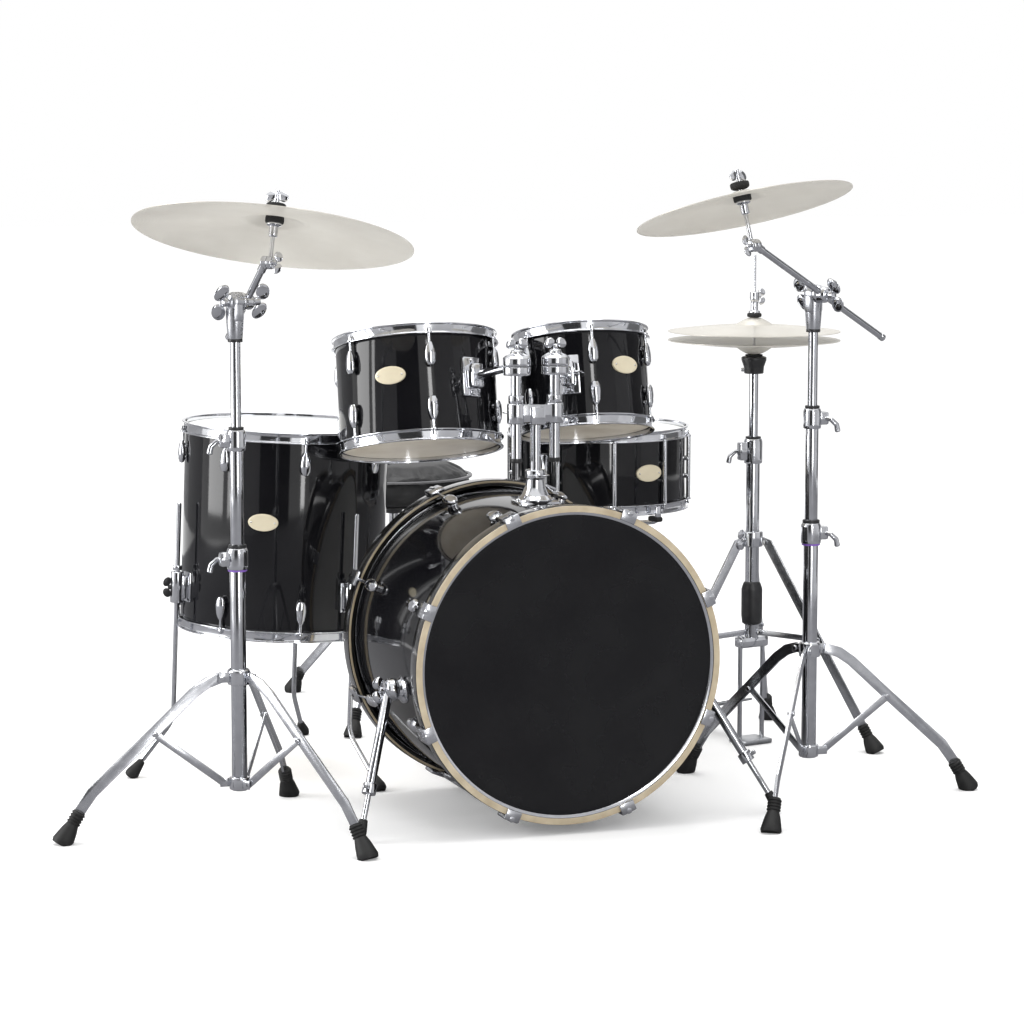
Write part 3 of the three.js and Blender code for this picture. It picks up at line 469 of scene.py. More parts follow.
def drum_shell_and_heads(drum, long_lugs=False):
    """Shell, hoops, heads, lugs and badge of one drum."""
    name, shell, half = drum["name"], drum["shell"], drum["depth"] / 2 - RIM_RISE
    place = drum_place(drum)
    base = Assembly(name, f"{name}_shell")
    base.ring(place, [(shell - 7, -half), (shell, -half), (shell, half), (shell - 7, half)], "black_lacquer", 1.2, 128)
    front = drum["heading"] - 90
    step = 360 / drum["lugs"]
    ends = []
    for way, node, slot in ((1, "top", "drum_head"), (-1, "bottom", "drum_head")):
        end = Assembly(f"{name}_{node}", f"{name}_{node}")
        flip = place @ (turn(180, "X") if way < 0 else Matrix()) @ shift(0, 0, half)
        flanged_hoop(end, flip, shell)
        end.lathe(flip, [(0, 1.6), (shell - 12, 1.6), (shell - 3, 0.8), (shell + 0.6, -3)], slot, 96)
        ends.append(end)
    for i in range(drum["lugs"]):
        angle = front + drum["first_lug"] + step * i
        spoke = place @ turn(angle)
        if long_lugs:
            base.rod([spoke @ Vector((shell + 7, 0, -half + 8)), spoke @ Vector((shell + 7, 0, half - 8))], 4.4,
                     "chrome", sides=16)
            for height in (-18, 18):
                base.bolt(spoke @ shift(shell - 1, 0, height) @ turn(90, "Y"), 5, 8)
        for way, end in zip((1, -1), ends):
            spoke_end = spoke @ (turn(180, "X") if way < 0 else Matrix())
            low = half - (30 if not long_lugs else 12)
            tension_rod(end, spoke_end, shell + 6, half - 7, low)
            if not long_lugs:
                lug_place = spoke_end @ shift(shell + 8, 0, half - 50) @ turn(180, "X")
                base.lug(lug_place, 46, 21, 15)
    angle, height = drum["badge"]
    badge_on(base, place, shell, front + angle, height)
    return base, ends, place


def rack_tom(drum):
    base, ends, place = drum_shell_and_heads(drum)
    ball = at(TOM_POST["x"] + drum["side"] * TOM_POST["spacing"], TOM_POST["y"], BALL_HEIGHT).to_translation()
    local = place.inverted() @ ball
    heading = math.degrees(math.atan2(local.y, local.x))
    spoke = place @ turn(heading)
    shell = drum["shell"]
    height = local.z * 0.9
    base.block(spoke @ shift(shell - 2, 0, height), (0, -21, -38), (9, 21, 38), "chrome", 4)
    base.block(spoke @ shift(shell + 5, 0, height), (0, -14, -24), (22, 14, 24), "chrome", 6)
    base.wing(spoke @ shift(shell + 16, 12, height) @ turn(-90, "X"), 15)
    for step in (-30, 30):
        base.bolt(spoke @ shift(shell + 5, 0, height + step) @ turn(90, "Y"), 5, 5)
    base.rod([spoke @ Vector((shell + 20, 0, height)), ball], 8.5, "chrome_tube", 6.6)
    base.ball(Matrix.Translation(ball), 9.5, "chrome")
    for assembly in (base, *ends):
        assembly.done(material_of={"drum_head": SHEER_HEAD} if assembly is ends[1] else None)


def floor_tom():
    base, ends, place = drum_shell_and_heads(FLOOR_TOM)
    centre, shell = FLOOR_TOM["centre"], FLOOR_TOM["shell"]
    low = LEG_ROD["bracket"] - centre[2]
    middle = low + LEG_ROD["height"] / 2
    for i, (leg_turn, foot_turn) in enumerate(zip(LEG_ROD["turns"], LEG_ROD["feet"])):
        spoke = place @ turn(leg_turn + FLOOR_TOM["heading"])
        base.block(spoke @ shift(shell - 2, 0, middle), (0, -17, -30), (7, 17, 30), "chrome", 3)
        base.block(spoke @ shift(shell + 4, 0, middle), (0, -13, -24), (16, 13, 24), "chrome", 5)
        base.ring(spoke @ shift(LEG_ROD["radius"], 0, middle), [(6.2, -31), (13, -31), (13, 31), (6.2, 31)],
                  "chrome", 2.5, 32)
        base.wing(spoke @ shift(LEG_ROD["radius"] + 11, 0, middle) @ turn(90, "Y"), 14, "black_plastic")
        leg = Assembly(f"floor_tom_leg_{i + 1}_rod", f"floor_tom_leg_{i + 1}")
        line = spoke @ shift(LEG_ROD["radius"])
        top = line @ Vector((0, 0, LEG_ROD["top"] - centre[2]))
        bend_place = line @ shift(0, 0, LEG_ROD["bend"] - centre[2])
        bend = bend_place.to_translation()
        foot = at(centre[0], centre[1]) @ polar(LEG_ROD["foot_radius"], foot_turn, 1.2)
        above = bend_place @ Vector((0, 0, 22))
        outward = bend + (foot - bend).normalized() * 22
        curve = [above * (1 - t) ** 2 + bend * 2 * t * (1 - t) + outward * t * t for t in (0, 0.2, 0.4, 0.6, 0.8, 1)]
        leg.rod([top, *curve, foot + (bend - foot) * 0.3], LEG_ROD["thick"], "chrome_tube", sides=20)
        stop = facing(line @ Vector((0, 0, middle + 34)), top)
        leg.ring(stop, [(4.8, 0), (9.5, 0), (9.5, 9), (4.8, 9)], "chrome", 1, 24)
        tip = Matrix.Translation(foot) @ (facing((0, 0, 0), bend - foot))
        leg.disc(tip, [(0, 0), (9, 0), (13, 4), (13.5, 12), (10, 28), (7, 42), (0, 43)], "rubber", 3, 32)
        leg.done()
    for assembly in (base, *ends):
        assembly.done(material_of={"drum_head": SHEER_HEAD} if assembly is ends[1] else None)


def snare():
    base, ends, place = drum_shell_and_heads(SNARE, long_lugs=True)
    shell = SNARE["shell"]
    throw = place @ turn(-148) @ shift(shell, 0, 0)
    base.block(throw, (0, -16, -46), (14, 16, 38), "chrome", 3)
    base.rod([throw @ Vector((12, 0, 20)), throw @ Vector((20, 0, 60))], 4, "chrome")
    base.block(place @ turn(32) @ shift(shell, 0, 0), (0, -14, -46), (10, 14, 20), "chrome", 3)
    for assembly in (base, *ends):
        assembly.done(material_of={"drum_head": SHEER_HEAD} if assembly is ends[1] else None)

    hub = SNARE_STAND["hub"]
    stand_place = at(*SNARE["centre"][:2])
    stand = Assembly("snare_stand", "snare_stand_base")
    column = [(0, 70), (13, 70), (13, 330), (18, 334), (18, 360), (9.5, 364), (9.5, hub - 24), (0, hub - 24)]
    stand.disc(stand_place, column, "chrome_tube", 2, 40)
    stand.ring(stand_place, [(12, 236), (22, 236), (22, 264), (12, 264)], "chrome", 3, 40)
    stand.ring(stand_place, [(12, 72), (20, 72), (20, 94), (12, 94)], "chrome", 3, 40)
    stand.block(stand_place, (-12, -17, hub - 36), (12, -8, hub + 5), "chrome", 3)
    stand.wing(stand_place @ shift(-16, 0, 347) @ turn(-90, "Y"), 15)
    feet = [SNARE_STAND["foot_turn"] + 120 * i for i in range(3)]
    simple_legs(stand, stand_place, feet, SNARE_STAND["foot_radius"], 250, 82)
    stand.done()

    basket = Assembly("snare_basket_arms", "snare_basket")
    low = SNARE["centre"][2] - SNARE["depth"] / 2 - hub
    reach = shell + 20
    centre = stand_place @ shift(0, 0, hub)
    basket.disc(centre @ turn(-90, "X"), [(0, -8), (14, -8), (14, 10), (0, 10)], "chrome", 3, 32)
    basket.rod([centre @ Vector((0, 0, 4)), centre @ Vector((0, 0, 30))], 7, "chrome")
    for i in range(3):
        arm = centre @ turn(SNARE_STAND["arm_turn"] + 120 * i)
        line = ((6, 18), (60, 26), (reach - 14, low - 14), (reach, low - 8))
        basket.rod([arm @ Vector((x, 0, z)) for x, z in line], 5, "chrome_tube")
        basket.block(arm, (reach - 24, -8, low - 13), (reach + 8, 8, low - 2), "rubber", 4)
        basket.block(arm, (reach - 4, -6, low - 13), (reach + 5, 6, low + 20), "chrome", 3)
    basket.done()


def bass_drum():
    place = at(0, 0, BASS["axis"]) @ turn(-90, "X")
    shell, hoop, length = BASS["shell"], BASS["hoop"], BASS["length"]
    base = Assembly("bass_drum", "bass_shell")
    base.ring(place, [(shell - 7, 11.4), (shell, 11.4), (shell, length - 11.4), (shell - 7, length - 11.4)],
              "black_lacquer", 1, 160)
    ends = []
    for name, node, way in (("front", "bass_front_hoop_head", 1), ("rear", "bass_rear_hoop_head", -1)):
        end = Assembly(f"bass_{name}", node)
        flip = place if way > 0 else place @ shift(0, 0, length) @ turn(180, "X")
        width = BASS["width"]
        end.ring(flip, [(282.5, 3), (hoop, 3), (hoop, width - 3), (282.5, width - 3)], "black_hoop", 0.6, 160)
        end.ring(flip, [(282.5, 0.6), (hoop - 0.6, 0.6), (hoop - 0.6, 3.2), (282.5, 3.2)], "maple_hoop", 1, 160)
        inlay = width - 3
        end.ring(flip, [(289, inlay - 1), (293, inlay - 1), (293, inlay + 0.6), (289, inlay + 0.6)], "maple_hoop", 0.4,
                 160)
        head = [(0, 8.5), (262, 8.5), (270, 7.2), (278, 7.4), (282, 10.5)]
        end.lathe(flip, head, "black_head" if way > 0 else "drum_head", 160)
        end.ring(flip, [(277, 6), (282.6, 4), (282.6, 20), (280, 20)], "chrome", 0.8, 160)
        for i in range(8):
            spoke = flip @ turn(22.5 + 45 * i)
            end.block(spoke, (282, -15, -4), (302, 15, 0.5), "plated_strip", 1.8)
            end.block(spoke, (hoop, -15, -3.5), (303, 15, 40), "plated_strip", 3)
            end.lathe(spoke @ shift(298.5, 0, -5), [(0, -1), (5, 0), (6, 3), (6, 20)], "chrome", 20)
            end.rod([spoke @ Vector((297, 0, 22)), spoke @ Vector((288, 0, 92))], 3, "chrome", sides=12)
            base.lug(flip @ turn(22.5 + 45 * i) @ shift(shell + 10, 0, 108) @ turn(180, "X"), 56, 26, 19)
        ends.append(end)
    vent = place @ turn(168) @ shift(shell, 0, 232) @ turn(90, "Y")
    base.ring(vent, [(7, -1), (15, -1), (13, 2.4), (8, 2.4)], "chrome", 0.8, 32)
    top = at(TOM_POST["x"], TOM_POST["y"])
    base.block(top, (-40, -29, 584), (40, 29, 596), "chrome", 5)
    flare = [(10.8, 590), (32, 592), (34, 598), (26, 606), (19, 622), (17, 636), (19, 638), (19, 652), (17, 654),
             (10.8, 654)]
    base.ring(top, flare, "chrome", 1.6, 48)
    base.wing(top @ shift(0, -18, 645) @ turn(90, "X"), 13)
    for x in (-32, 32):
        base.bolt(top @ shift(x, 0, 595), 6, 5)
    for side in (-1, 1):
        x, y, z = SPUR_PIVOT
        drop = z - BASS["axis"]
        on_shell = math.sqrt(shell ** 2 - drop ** 2)
        hub = at(side * on_shell, y, z) @ turn(side * 90, "Y")
        base.disc(hub, [(0, -8), (27, -8), (27, 1), (20, 5), (17, x - on_shell - 6), (0, x - on_shell - 6)],
                  "chrome", 2, 40)
    for assembly in (base, *ends):
        assembly.done()


def spurs():
    x, y, z = SPUR_PIVOT
    for name, (side, (foot_x, foot_y)) in SPURS.items():
        spur = Assembly(f"bass_spur_{name}_leg", f"bass_spur_{name}")
        pivot = at(side * x, y, z)
        spur.disc(pivot @ turn(side * 90, "Y"), [(0, -5), (19, -5), (21, 0), (19, 14), (10, 18), (0, 18)],
                  "chrome", 3, 48)
        start = pivot @ Vector((side * 9, 0, 0))
        foot = at(side * foot_x, foot_y, 9).to_translation() + Vector((side * 9, 0, 0))
        line = facing(start, foot)
        length = (foot - start).length
        spur.wing(pivot @ shift(side * 18, 0, 0) @ turn(side * 90, "Y"), 17)
        spur.ring(line, [(2, 6), (9, 6), (9, 188), (2, 188)], "chrome_tube", 1, 32)
        spur.ring(line, [(5, 180), (13, 180), (13, 200), (5, 200)], "chrome", 2, 32)
        spur.bolt(line @ shift(0, 12, 190) @ turn(-90, "X"), 4, 9)
        spur.rod([line @ Vector((0, 0, 186)), line @ Vector((0, 0, length - 14))], 5.2, "chrome_tube")
        spur.disc(line, [(0, length - 36), (8, length - 36), (10, length - 16), (10, length - 4), (5, length),
                         (0, length)], "rubber", 2, 32)
        spur.done()


def tom_mount():
    """Post and cross casting over the bass drum, and both ball holders."""
    low, high = TOM_POST["tee"]
    centre = at(TOM_POST["x"], TOM_POST["y"])
    post = Assembly("tom_post_casting", "tom_post")
    post.rod([centre @ Vector((0, 0, 643)), centre @ Vector((0, 0, low + 6))], TOM_POST["tube"], "chrome_tube")
    post.block(centre, (-38, -13, low + 2), (38, 13, high - 2), "chrome", 3)
    post.block(centre, (-14, -19, low - 2), (14, 14, high - 6), "chrome", 3)
    for side in (-1, 1):
        spot = centre @ shift(side * TOM_POST["spacing"])
        post.ring(spot, [(10.6, low), (17, low), (17, high), (10.6, high)], "chrome", 2.5, 40)
        post.wing(spot @ shift(0, 15, (low + high) / 2) @ turn(-90, "X"), 13)
        name = "left" if side < 0 else "right"
        holder = Assembly(f"tom_holder_{name}_clamp", f"tom_holder_{name}")
        bottom = TOM_POST["tube_low"]
        holder.rod([spot @ Vector((0, 0, bottom + 4)), spot @ Vector((0, 0, 834))], TOM_POST["tube"], "chrome_tube")
        holder.disc(spot, [(0, bottom), (10.6, bottom), (10.6, bottom + 9), (0, bottom + 9)], "black_plastic", 2, 32)
        holder.ring(spot, [(9.8, high + 0.6), (14.5, high + 0.6), (14.5, high + 15), (9.8, high + 15)], "chrome", 1.5,
                    32)
        holder.bolt(spot @ shift(0, -13, high + 8) @ turn(90, "X"), 3.6, 7)
        ball = spot @ shift(0, -4, BALL_HEIGHT)
        holder.ring(ball, [(11, -17), (26, -17), (26, -1), (11, -1)], "chrome", 1.6, 48)
        holder.ring(ball, [(11, 0.2), (26, 0.2), (26, 15), (21, 19), (11, 24)], "chrome", 1.6, 48)
        holder.disc(ball, [(0, 16), (13, 22), (10, 30), (0, 30)], "chrome", 2, 32)
        holder.wing(ball @ shift(0, 0, 31), 15)
        holder.done()
    post.done()


# ------------------------------------------------------------------ stands

def simple_legs(stand, place, turns, foot_radius, collar, bracket):
    """Fixed tripod: flat double-edged legs with single braces, rivets and ribbed boots."""
    line = ((10, collar), (34, collar - 6), (foot_radius - 30, 46), (foot_radius - 12, 20))
    meet = (34 + (foot_radius - 64) * 0.52, collar - 6 - (collar - 52) * 0.52)
    for degrees in turns:
        leg = place @ turn(degrees)
        stand.strip(leg, line, 18, -3, 3, "plated_strip", 1)
        stand.strip(leg, ((10, bracket), meet), 12, -2, 2, "plated_strip", 0.7)
        for x, z in ((meet[0], meet[1]), (30, collar - 5), (18, bracket)):
            stand.bolt(leg @ shift(x, -4, z) @ turn(90, "X"), 4.5, 2.5)
        boot(stand, facing(leg @ Vector((foot_radius - 36, 0, 56)), leg @ Vector((foot_radius - 4, 0, 0))), 64)


def boot(stand, place, length, neck=10.5, foot=20):
    """A rubber foot along Z: ribbed neck, then a smooth bell down to the floor."""
    outline = [(0, 0), (neck, 0)]
    for i in range(4):
        start = 2 + i * 6
        outline += [(neck, start), (neck + 2, start + 1.5), (neck + 2, start + 3.5), (neck, start + 5)]
    bell = [(neck + 1, 28), (neck + 4, length * 0.55), (foot - 1.5, length * 0.8), (foot, length - 6), (foot - 2, length)]
    stand.lathe(place, outline + bell + [(0, length)], "rubber", 32)


def clamp(stand, place, low, high, radius, lever_turn, ring_slot="black_plastic"):
    """A height clamp on a tube: sleeve, split ears, bolt with lever."""
    stand.ring(place, [(radius - 5, low), (radius, low), (radius + 1, low + 6), (radius + 1, high - 6),
                       (radius - 1, high), (radius - 5, high)], "chrome", 2, 40)
    ears = place @ turn(lever_turn)
    middle = (low + high) / 2
    stand.block(ears, (radius - 4, -10, low + 7), (radius + 15, 10, high - 7), "chrome", 4)
    grip = [ears @ Vector((radius + 8, -8, middle)), ears @ Vector((radius + 16, -15, middle - 2)),
            ears @ Vector((radius + 27, -16, middle - 12)), ears @ Vector((radius + 30, -16, middle - 26))]
    stand.rod(grip, 4.2, "chrome", 5.6)
    stand.bolt(ears @ shift(radius + 8, 11, middle) @ turn(-90, "X"), 6, 4)


def boom_stand(stand):
    name, place = stand["name"], at(*stand["place"])
    lower, top = stand["lower"], stand["clamp"]
    base = Assembly(f"{name}_stand_tubes", f"{name}_stand_base_tube")
    tube, middle = TUBE["base"], TUBE["middle"]
    bracket = TRIPOD["bracket"]
    base.ring(place, [(10.4, bracket - 14), (tube, bracket - 14), (tube, lower - 6), (10.4, lower - 6)], "chrome_tube",
              1, 48)
    base.ring(place, [(10.4, lower - 10), (middle, lower - 10), (middle, top - 6), (10.4, top - 6)], "chrome_tube",
              0.5, 48)
    clamp(base, place, lower - 46, lower - 6, 18.5, stand["lever"])
    base.ring(place, [(11, lower - 6), (16.5, lower - 6), (16.5, lower), (11, lower)], "black_plastic", 1, 40)
    base.ring(place, [(12.6, lower - 49), (17.6, lower - 49), (17.6, lower - 45), (12.6, lower - 45)], "purple", 0.6, 40)
    clamp(base, place, top - 44, top - 5, 16.5, stand["lever"])
    base.ring(place, [(9.9, top - 5), (14, top - 5), (14, top), (9.9, top)], "black_plastic", 1, 40)
    base.ring(place, [(13, bracket - 12), (19, bracket - 12), (19, bracket + 11), (13, bracket + 11)], "chrome", 2, 40)
    for i in range(3):
        ear = place @ turn(stand["foot_turn"] + 120 * i)
        base.block(ear, (12, -9.6, bracket - 8), (TRIPOD["brace_pivot"] + 7, -6.5, bracket + 8), "chrome", 1)
    base.done(material_of={"purple": PURPLE})

    tripod(stand, place)
    pivot = stand["pivot"]
    upper = Assembly(f"{name}_stand_upper", f"{name}_stand_upper_tube")
    upper.rod([place @ Vector((0, 0, top - 168)), place @ Vector((0, 0, pivot - 56))], TUBE["upper"], "chrome_tube")
    upper.ring(place, [(8, pivot - 72), (13.5, pivot - 72), (13.5, pivot - 66), (8, pivot - 66)], "black_plastic", 1, 32)
    upper.disc(place, [(0, pivot - 67), (13.5, pivot - 67), (15.5, pivot - 40), (16.8, pivot - 16), (15.5, pivot - 6),
                       (0, pivot - 4)], "satin", 2, 32)
    neck = place @ turn(stand["boom_turn"])
    upper.block(neck, (-18, -9, pivot - 34), (18, 9, pivot + 2), "satin", 4)
    head = place @ shift(0, 0, pivot) @ turn(stand["boom_turn"])
    upper.disc(head @ turn(90, "X"), [(0, -9.6), (18.5, -9.6), (18.5, 5), (15, 12), (8, 15), (0, 15)], "satin", 2, 40)
    upper.wing(head @ shift(0, -14, 0) @ turn(90, "X") @ turn(70), 24)
    upper.done(material_of={"satin": SATIN})

    arm = Assembly(f"{name}_stand_boom", f"{name}_stand_boom_arm")
    rise, side = math.radians(stand["rise"]), 24
    along = Vector((math.cos(rise), 0, math.sin(rise)))
    start = head @ (along * -stand["tail"] + Vector((0, side, 0)))
    tip_local = along * stand["reach"] + Vector((0, side, 0))
    tip = head @ tip_local
    arm.disc(head @ turn(-90, "X"), [(0, 10.2), (18, 10.2), (18, 15), (15.5, 20), (15.5, 30), (12, 36), (0, 38)],
             "chrome", 2, 40)
    arm.rod([start, head @ (along * (stand["reach"] - 8) + Vector((0, side, 0)))], 6.3, "chrome_tube")
    arm.rod([start - (tip - start).normalized() * 1.0, start + (tip - start).normalized() * 12], 7.2, "chrome")
    arm.wing(head @ shift(0, 38, 0) @ turn(-90, "X") @ turn(-70), 24)
    tilter_place = head @ Matrix.Translation(tip_local) @ lean(stand["lean"], stand["heading"] + stand["boom_turn"])
    arm.disc(tilter_place @ turn(90, "Y"), [(0, -5), (12, -5), (12, 5), (0, 5)], "chrome", 1.2, 40)
    arm.rod([tip - (tip - start).normalized() * 22, tip], 8, "chrome")
    arm.done()

    axis = tilter_place.to_3x3() @ Vector((1, 0, 0))
    flat = head.to_3x3() @ Vector((tip_local.x, 0, tip_local.z))
    way = -1 if axis.dot(flat) < 0 else 1
    tilter = Assembly(f"{name}_stand_tilter_post", f"{name}_stand_tilter")
    tilter.disc(tilter_place @ turn(way * 90, "Y"), [(0, 5.4), (12, 5.4), (12, 13), (9, 15), (0, 15)], "chrome", 1.5, 40)
    tilter.wing(tilter_place @ shift(way * 15, 0, 0) @ turn(way * 90, "Y"), 14)
    post = tilter_place @ shift(way * 9.5)
    cap = stand["post"]
    tilter.rod([post @ Vector((0, 0, 2)), post @ Vector((0, 0, cap + 42))], 4, "chrome")
    tilter.disc(post, [(0, cap - 46), (8, cap - 44), (8.5, cap - 26), (14, cap - 24), (14, cap - 20), (0, cap - 20)],
                "chrome", 1, 32)
    tilter.disc(post, [(0, cap - 20), (17, cap - 20), (17, cap - 7), (8, cap - 4.5), (0, cap - 4.5)], "felt", 3, 32)
    tilter.disc(post, [(0, cap + 2.5), (12, cap + 2.5), (18, cap + 6), (18, cap + 16), (0, cap + 17)], "felt", 3, 32)
    tilter.wing(post @ shift(0, 0, cap + 18), 16)
    tilter.done()

    disc = Assembly(f"{name}_cymbal_disc", f"{name}_cymbal")
    cymbal(disc, post @ shift(0, 0, cap), stand["cymbal"], stand["bow"], stand["bell"])
    disc.done()


def cymbal(assembly, place, radius, bow, bell_rise, hole=7):
    """A thin bowed plate with a rounded bell; z = 0 is the hole's edge on top of the bell."""
    bell = radius * 0.22
    top = []
    for i in range(9):
        t = i / 8
        top.append((hole + (bell - hole) * t, -bell_rise * (1 - math.cos(t * math.pi / 2)) ** 0.9))
    for i in range(1, 17):
        t = i / 16
        top.append((bell + (radius - bell) * t, -bell_rise - bow * t ** 1.35))
    under = [(r, z - 1.4) for r, z in reversed(top)]
    assembly.lathe(place, top + under, "cymbal_bronze", 144, closed=True)


def tripod(stand, place):
    """Sliding collar, three folding legs and their braces."""
    name, collar_z = stand["name"], TRIPOD["collar"]
    collar = Assembly(f"{name}_tripod_collar", f"{name}_stand_collar")
    collar.ring(place, [(14.8, collar_z - 14), (20.5, collar_z - 14), (21, collar_z + 12), (18, collar_z + 15),
                        (14.8, collar_z + 15)], "chrome", 2, 40)
    pivot = TRIPOD["leg_pivot"]
    line = [(radius - pivot, height) for radius, height in TRIPOD["leg_line"]]
    meet = (TRIPOD["brace_meets"][0] - TRIPOD["brace_pivot"],
            collar_z + TRIPOD["brace_meets"][1] - TRIPOD["bracket"])
    for i in range(3):
        spoke = place @ turn(stand["foot_turn"] + 120 * i)
        collar.block(spoke @ shift(0, 0, collar_z), (16, 2.9, -9), (pivot + 8, 6.9, 9), "chrome", 1.4)
        collar.bolt(spoke @ shift(pivot, 6.5, collar_z) @ turn(-90, "X"), 5, 3.5)
        hinge = spoke @ shift(pivot, 0, collar_z)
        leg = Assembly(f"{name}_tripod_leg_{i + 1}", f"{name}_stand_leg_{i + 1}")
        leg.strip(hinge, line, 20, -2.5, 2.5, "plated_strip", 1)
        leg.bolt(hinge @ shift(meet[0] - 4, 2.4, TRIPOD["brace_meets"][1]) @ turn(-90, "X"), 5.5, 3)
        foot = TRIPOD["foot"] - pivot
        boot(leg, facing(hinge @ Vector((foot - TRIPOD["boot_reach"], 0, TRIPOD["boot_height"] - collar_z)),
                         hinge @ Vector((foot, 0, -collar_z - 2))), 68, 11, 20)
        leg.done()
        brace = Assembly(f"{name}_tripod_brace_{i + 1}", f"{name}_stand_brace_{i + 1}")
        root = spoke @ shift(TRIPOD["brace_pivot"], 0, TRIPOD["bracket"])
        brace.strip(root, ((0, 0), meet), 14, -5.9, -2.9, "plated_strip", 0.8)
        brace.bolt(root @ shift(0, -5.7, 0) @ turn(90, "X"), 4.6, 2.2)
        brace.bolt(root @ shift(meet[0], -5.7, meet[1]) @ turn(90, "X"), 4.6, 2.2)
        brace.done()
    collar.done()


def hi_hat():
    place = at(*HIHAT["place"])
    top, collar, frame_top, seat = HIHAT["clamp"], HIHAT["collar"], HIHAT["frame_top"], HIHAT["seat"]
    low, high = HIHAT["sleeve"]
    base = Assembly("hihat_stand", "hihat_base")
    tube = TUBE["base"]
    base.ring(place, [(10.3, frame_top - 6), (tube, frame_top - 6), (tube, top - 6), (10.3, top - 6)], "chrome_tube", 1,
              48)
    base.ring(place, [(tube, low), (20, low + 4), (22, low + 20), (22, high - 16), (18, high - 4), (tube, high)],
              "black_plastic", 2, 40)
    base.ring(place, [(13, collar - 16), (22, collar - 16), (22, collar + 16), (13, collar + 16)], "chrome", 3, 40)
    base.wing(place @ turn(200) @ shift(22, 0, collar) @ turn(90, "Y"), 15)
    clamp(base, place, top - 56, top - 4, 18.5, 180)
    base.ring(place, [(9.9, top - 4), (16, top - 4), (16, top), (9.9, top)], "black_plastic", 1, 40)
    body = place @ turn(HIHAT["turn"])
    base.block(body, (-35, -15, frame_top - 22), (35, 15, frame_top + 1), "chrome", 5)
    for side in (-1, 1):
        base.rod([body @ Vector((side * 29, 0, 8)), body @ Vector((side * 29, 0, frame_top - 14))], 5, "chrome_tube")
        base.bolt(body @ shift(side * 29, 0, frame_top - 1), 6, 4)
    base.block(body, (-35, -30, 0.4), (35, 30, 11), "pedal_steel", 3)
    simple_legs(base, place, HIHAT["feet"], HIHAT["foot_radius"], collar, frame_top + 10)
    base.done()

    upper = Assembly("hihat_upper_stand", "hihat_upper_tube")
    upper.ring(place, [(5, top - 260), (TUBE["upper"], top - 260), (TUBE["upper"], seat - 38), (5, seat - 38)],
               "chrome_tube", 0.6, 40)
    upper.ring(place, [(5, seat - 40), (20, seat - 40), (21, seat - 26), (26, seat - 12), (26, seat - 6), (20, seat - 4),
                       (5, seat - 4)], "black_plastic", 2, 40)
    upper.ring(place, [(5, seat - 4), (18, seat - 4), (18, seat - 0.5), (5, seat)], "felt", 1, 32)
    upper.bolt(place @ turn(140) @ shift(19, 0, seat - 33) @ turn(90, "Y"), 4, 8)
    upper.done()
    bottom = Assembly("hihat_lower_cymbal", "hihat_bottom_cymbal")
    cymbal(bottom, place @ shift(0, 0, seat + 0.4) @ turn(180, "X"), HIHAT["rim"], HIHAT["bow"], HIHAT["bell"], 9.5)
    bottom.done()
    rise = HIHAT["top_rim"] + HIHAT["bow"] + HIHAT["bell"]
    rod = Assembly("hihat_clutch", "hihat_rod")
    rod.rod([place @ Vector((0, 0, frame_top + 90)), place @ Vector((0, 0, HIHAT["rod_top"]))], 3, "chrome", sides=16)
    rod.disc(place, [(0, rise + 0.6), (15, rise + 0.6), (15, rise + 9), (0, rise + 9)], "felt", 3, 32)
    rod.disc(place, [(0, rise + 9), (12, rise + 9), (12, rise + 13), (7.5, rise + 15), (7.5, rise + 34), (9.5, rise + 36),
                     (9.5, rise + 52), (0, rise + 54)], "chrome", 1.2, 32)
    rod.wing(place @ shift(8, 0, rise + 43) @ turn(90, "Y"), 12)
    rod.done()
    upper_disc = Assembly("hihat_upper_cymbal", "hihat_top_cymbal")
    cymbal(upper_disc, place @ shift(0, 0, rise), HIHAT["rim"], HIHAT["bow"], HIHAT["bell"], 6)
    upper_disc.done()

    board = Assembly("hihat_pedal_board", "hihat_footboard")
    footboard(board, body @ shift(0, 292, 16), 266, 24)
    board.done()


def footboard(board, hinge, length, half):
    """A tapered plate that rises 15 degrees from its heel hinge, with raised grip bars."""
    slope = hinge @ turn(-90) @ turn(-15, "Y")
    run = length / math.cos(math.radians(15))
    board.block(slope, (0, -half, -2.5), (run, half, 2.5), "pedal_steel", 1.5)
    for i in range(12):
        x = run * (0.16 + 0.065 * i)
        board.block(slope, (x, -half + 6, 2), (x + 5, half - 6, 4.4), "rubber", 0.8)
    board.rod([hinge @ Vector((-half - 2, 0, 0)), hinge @ Vector((half + 2, 0, 0))], 6, "chrome", sides=20)


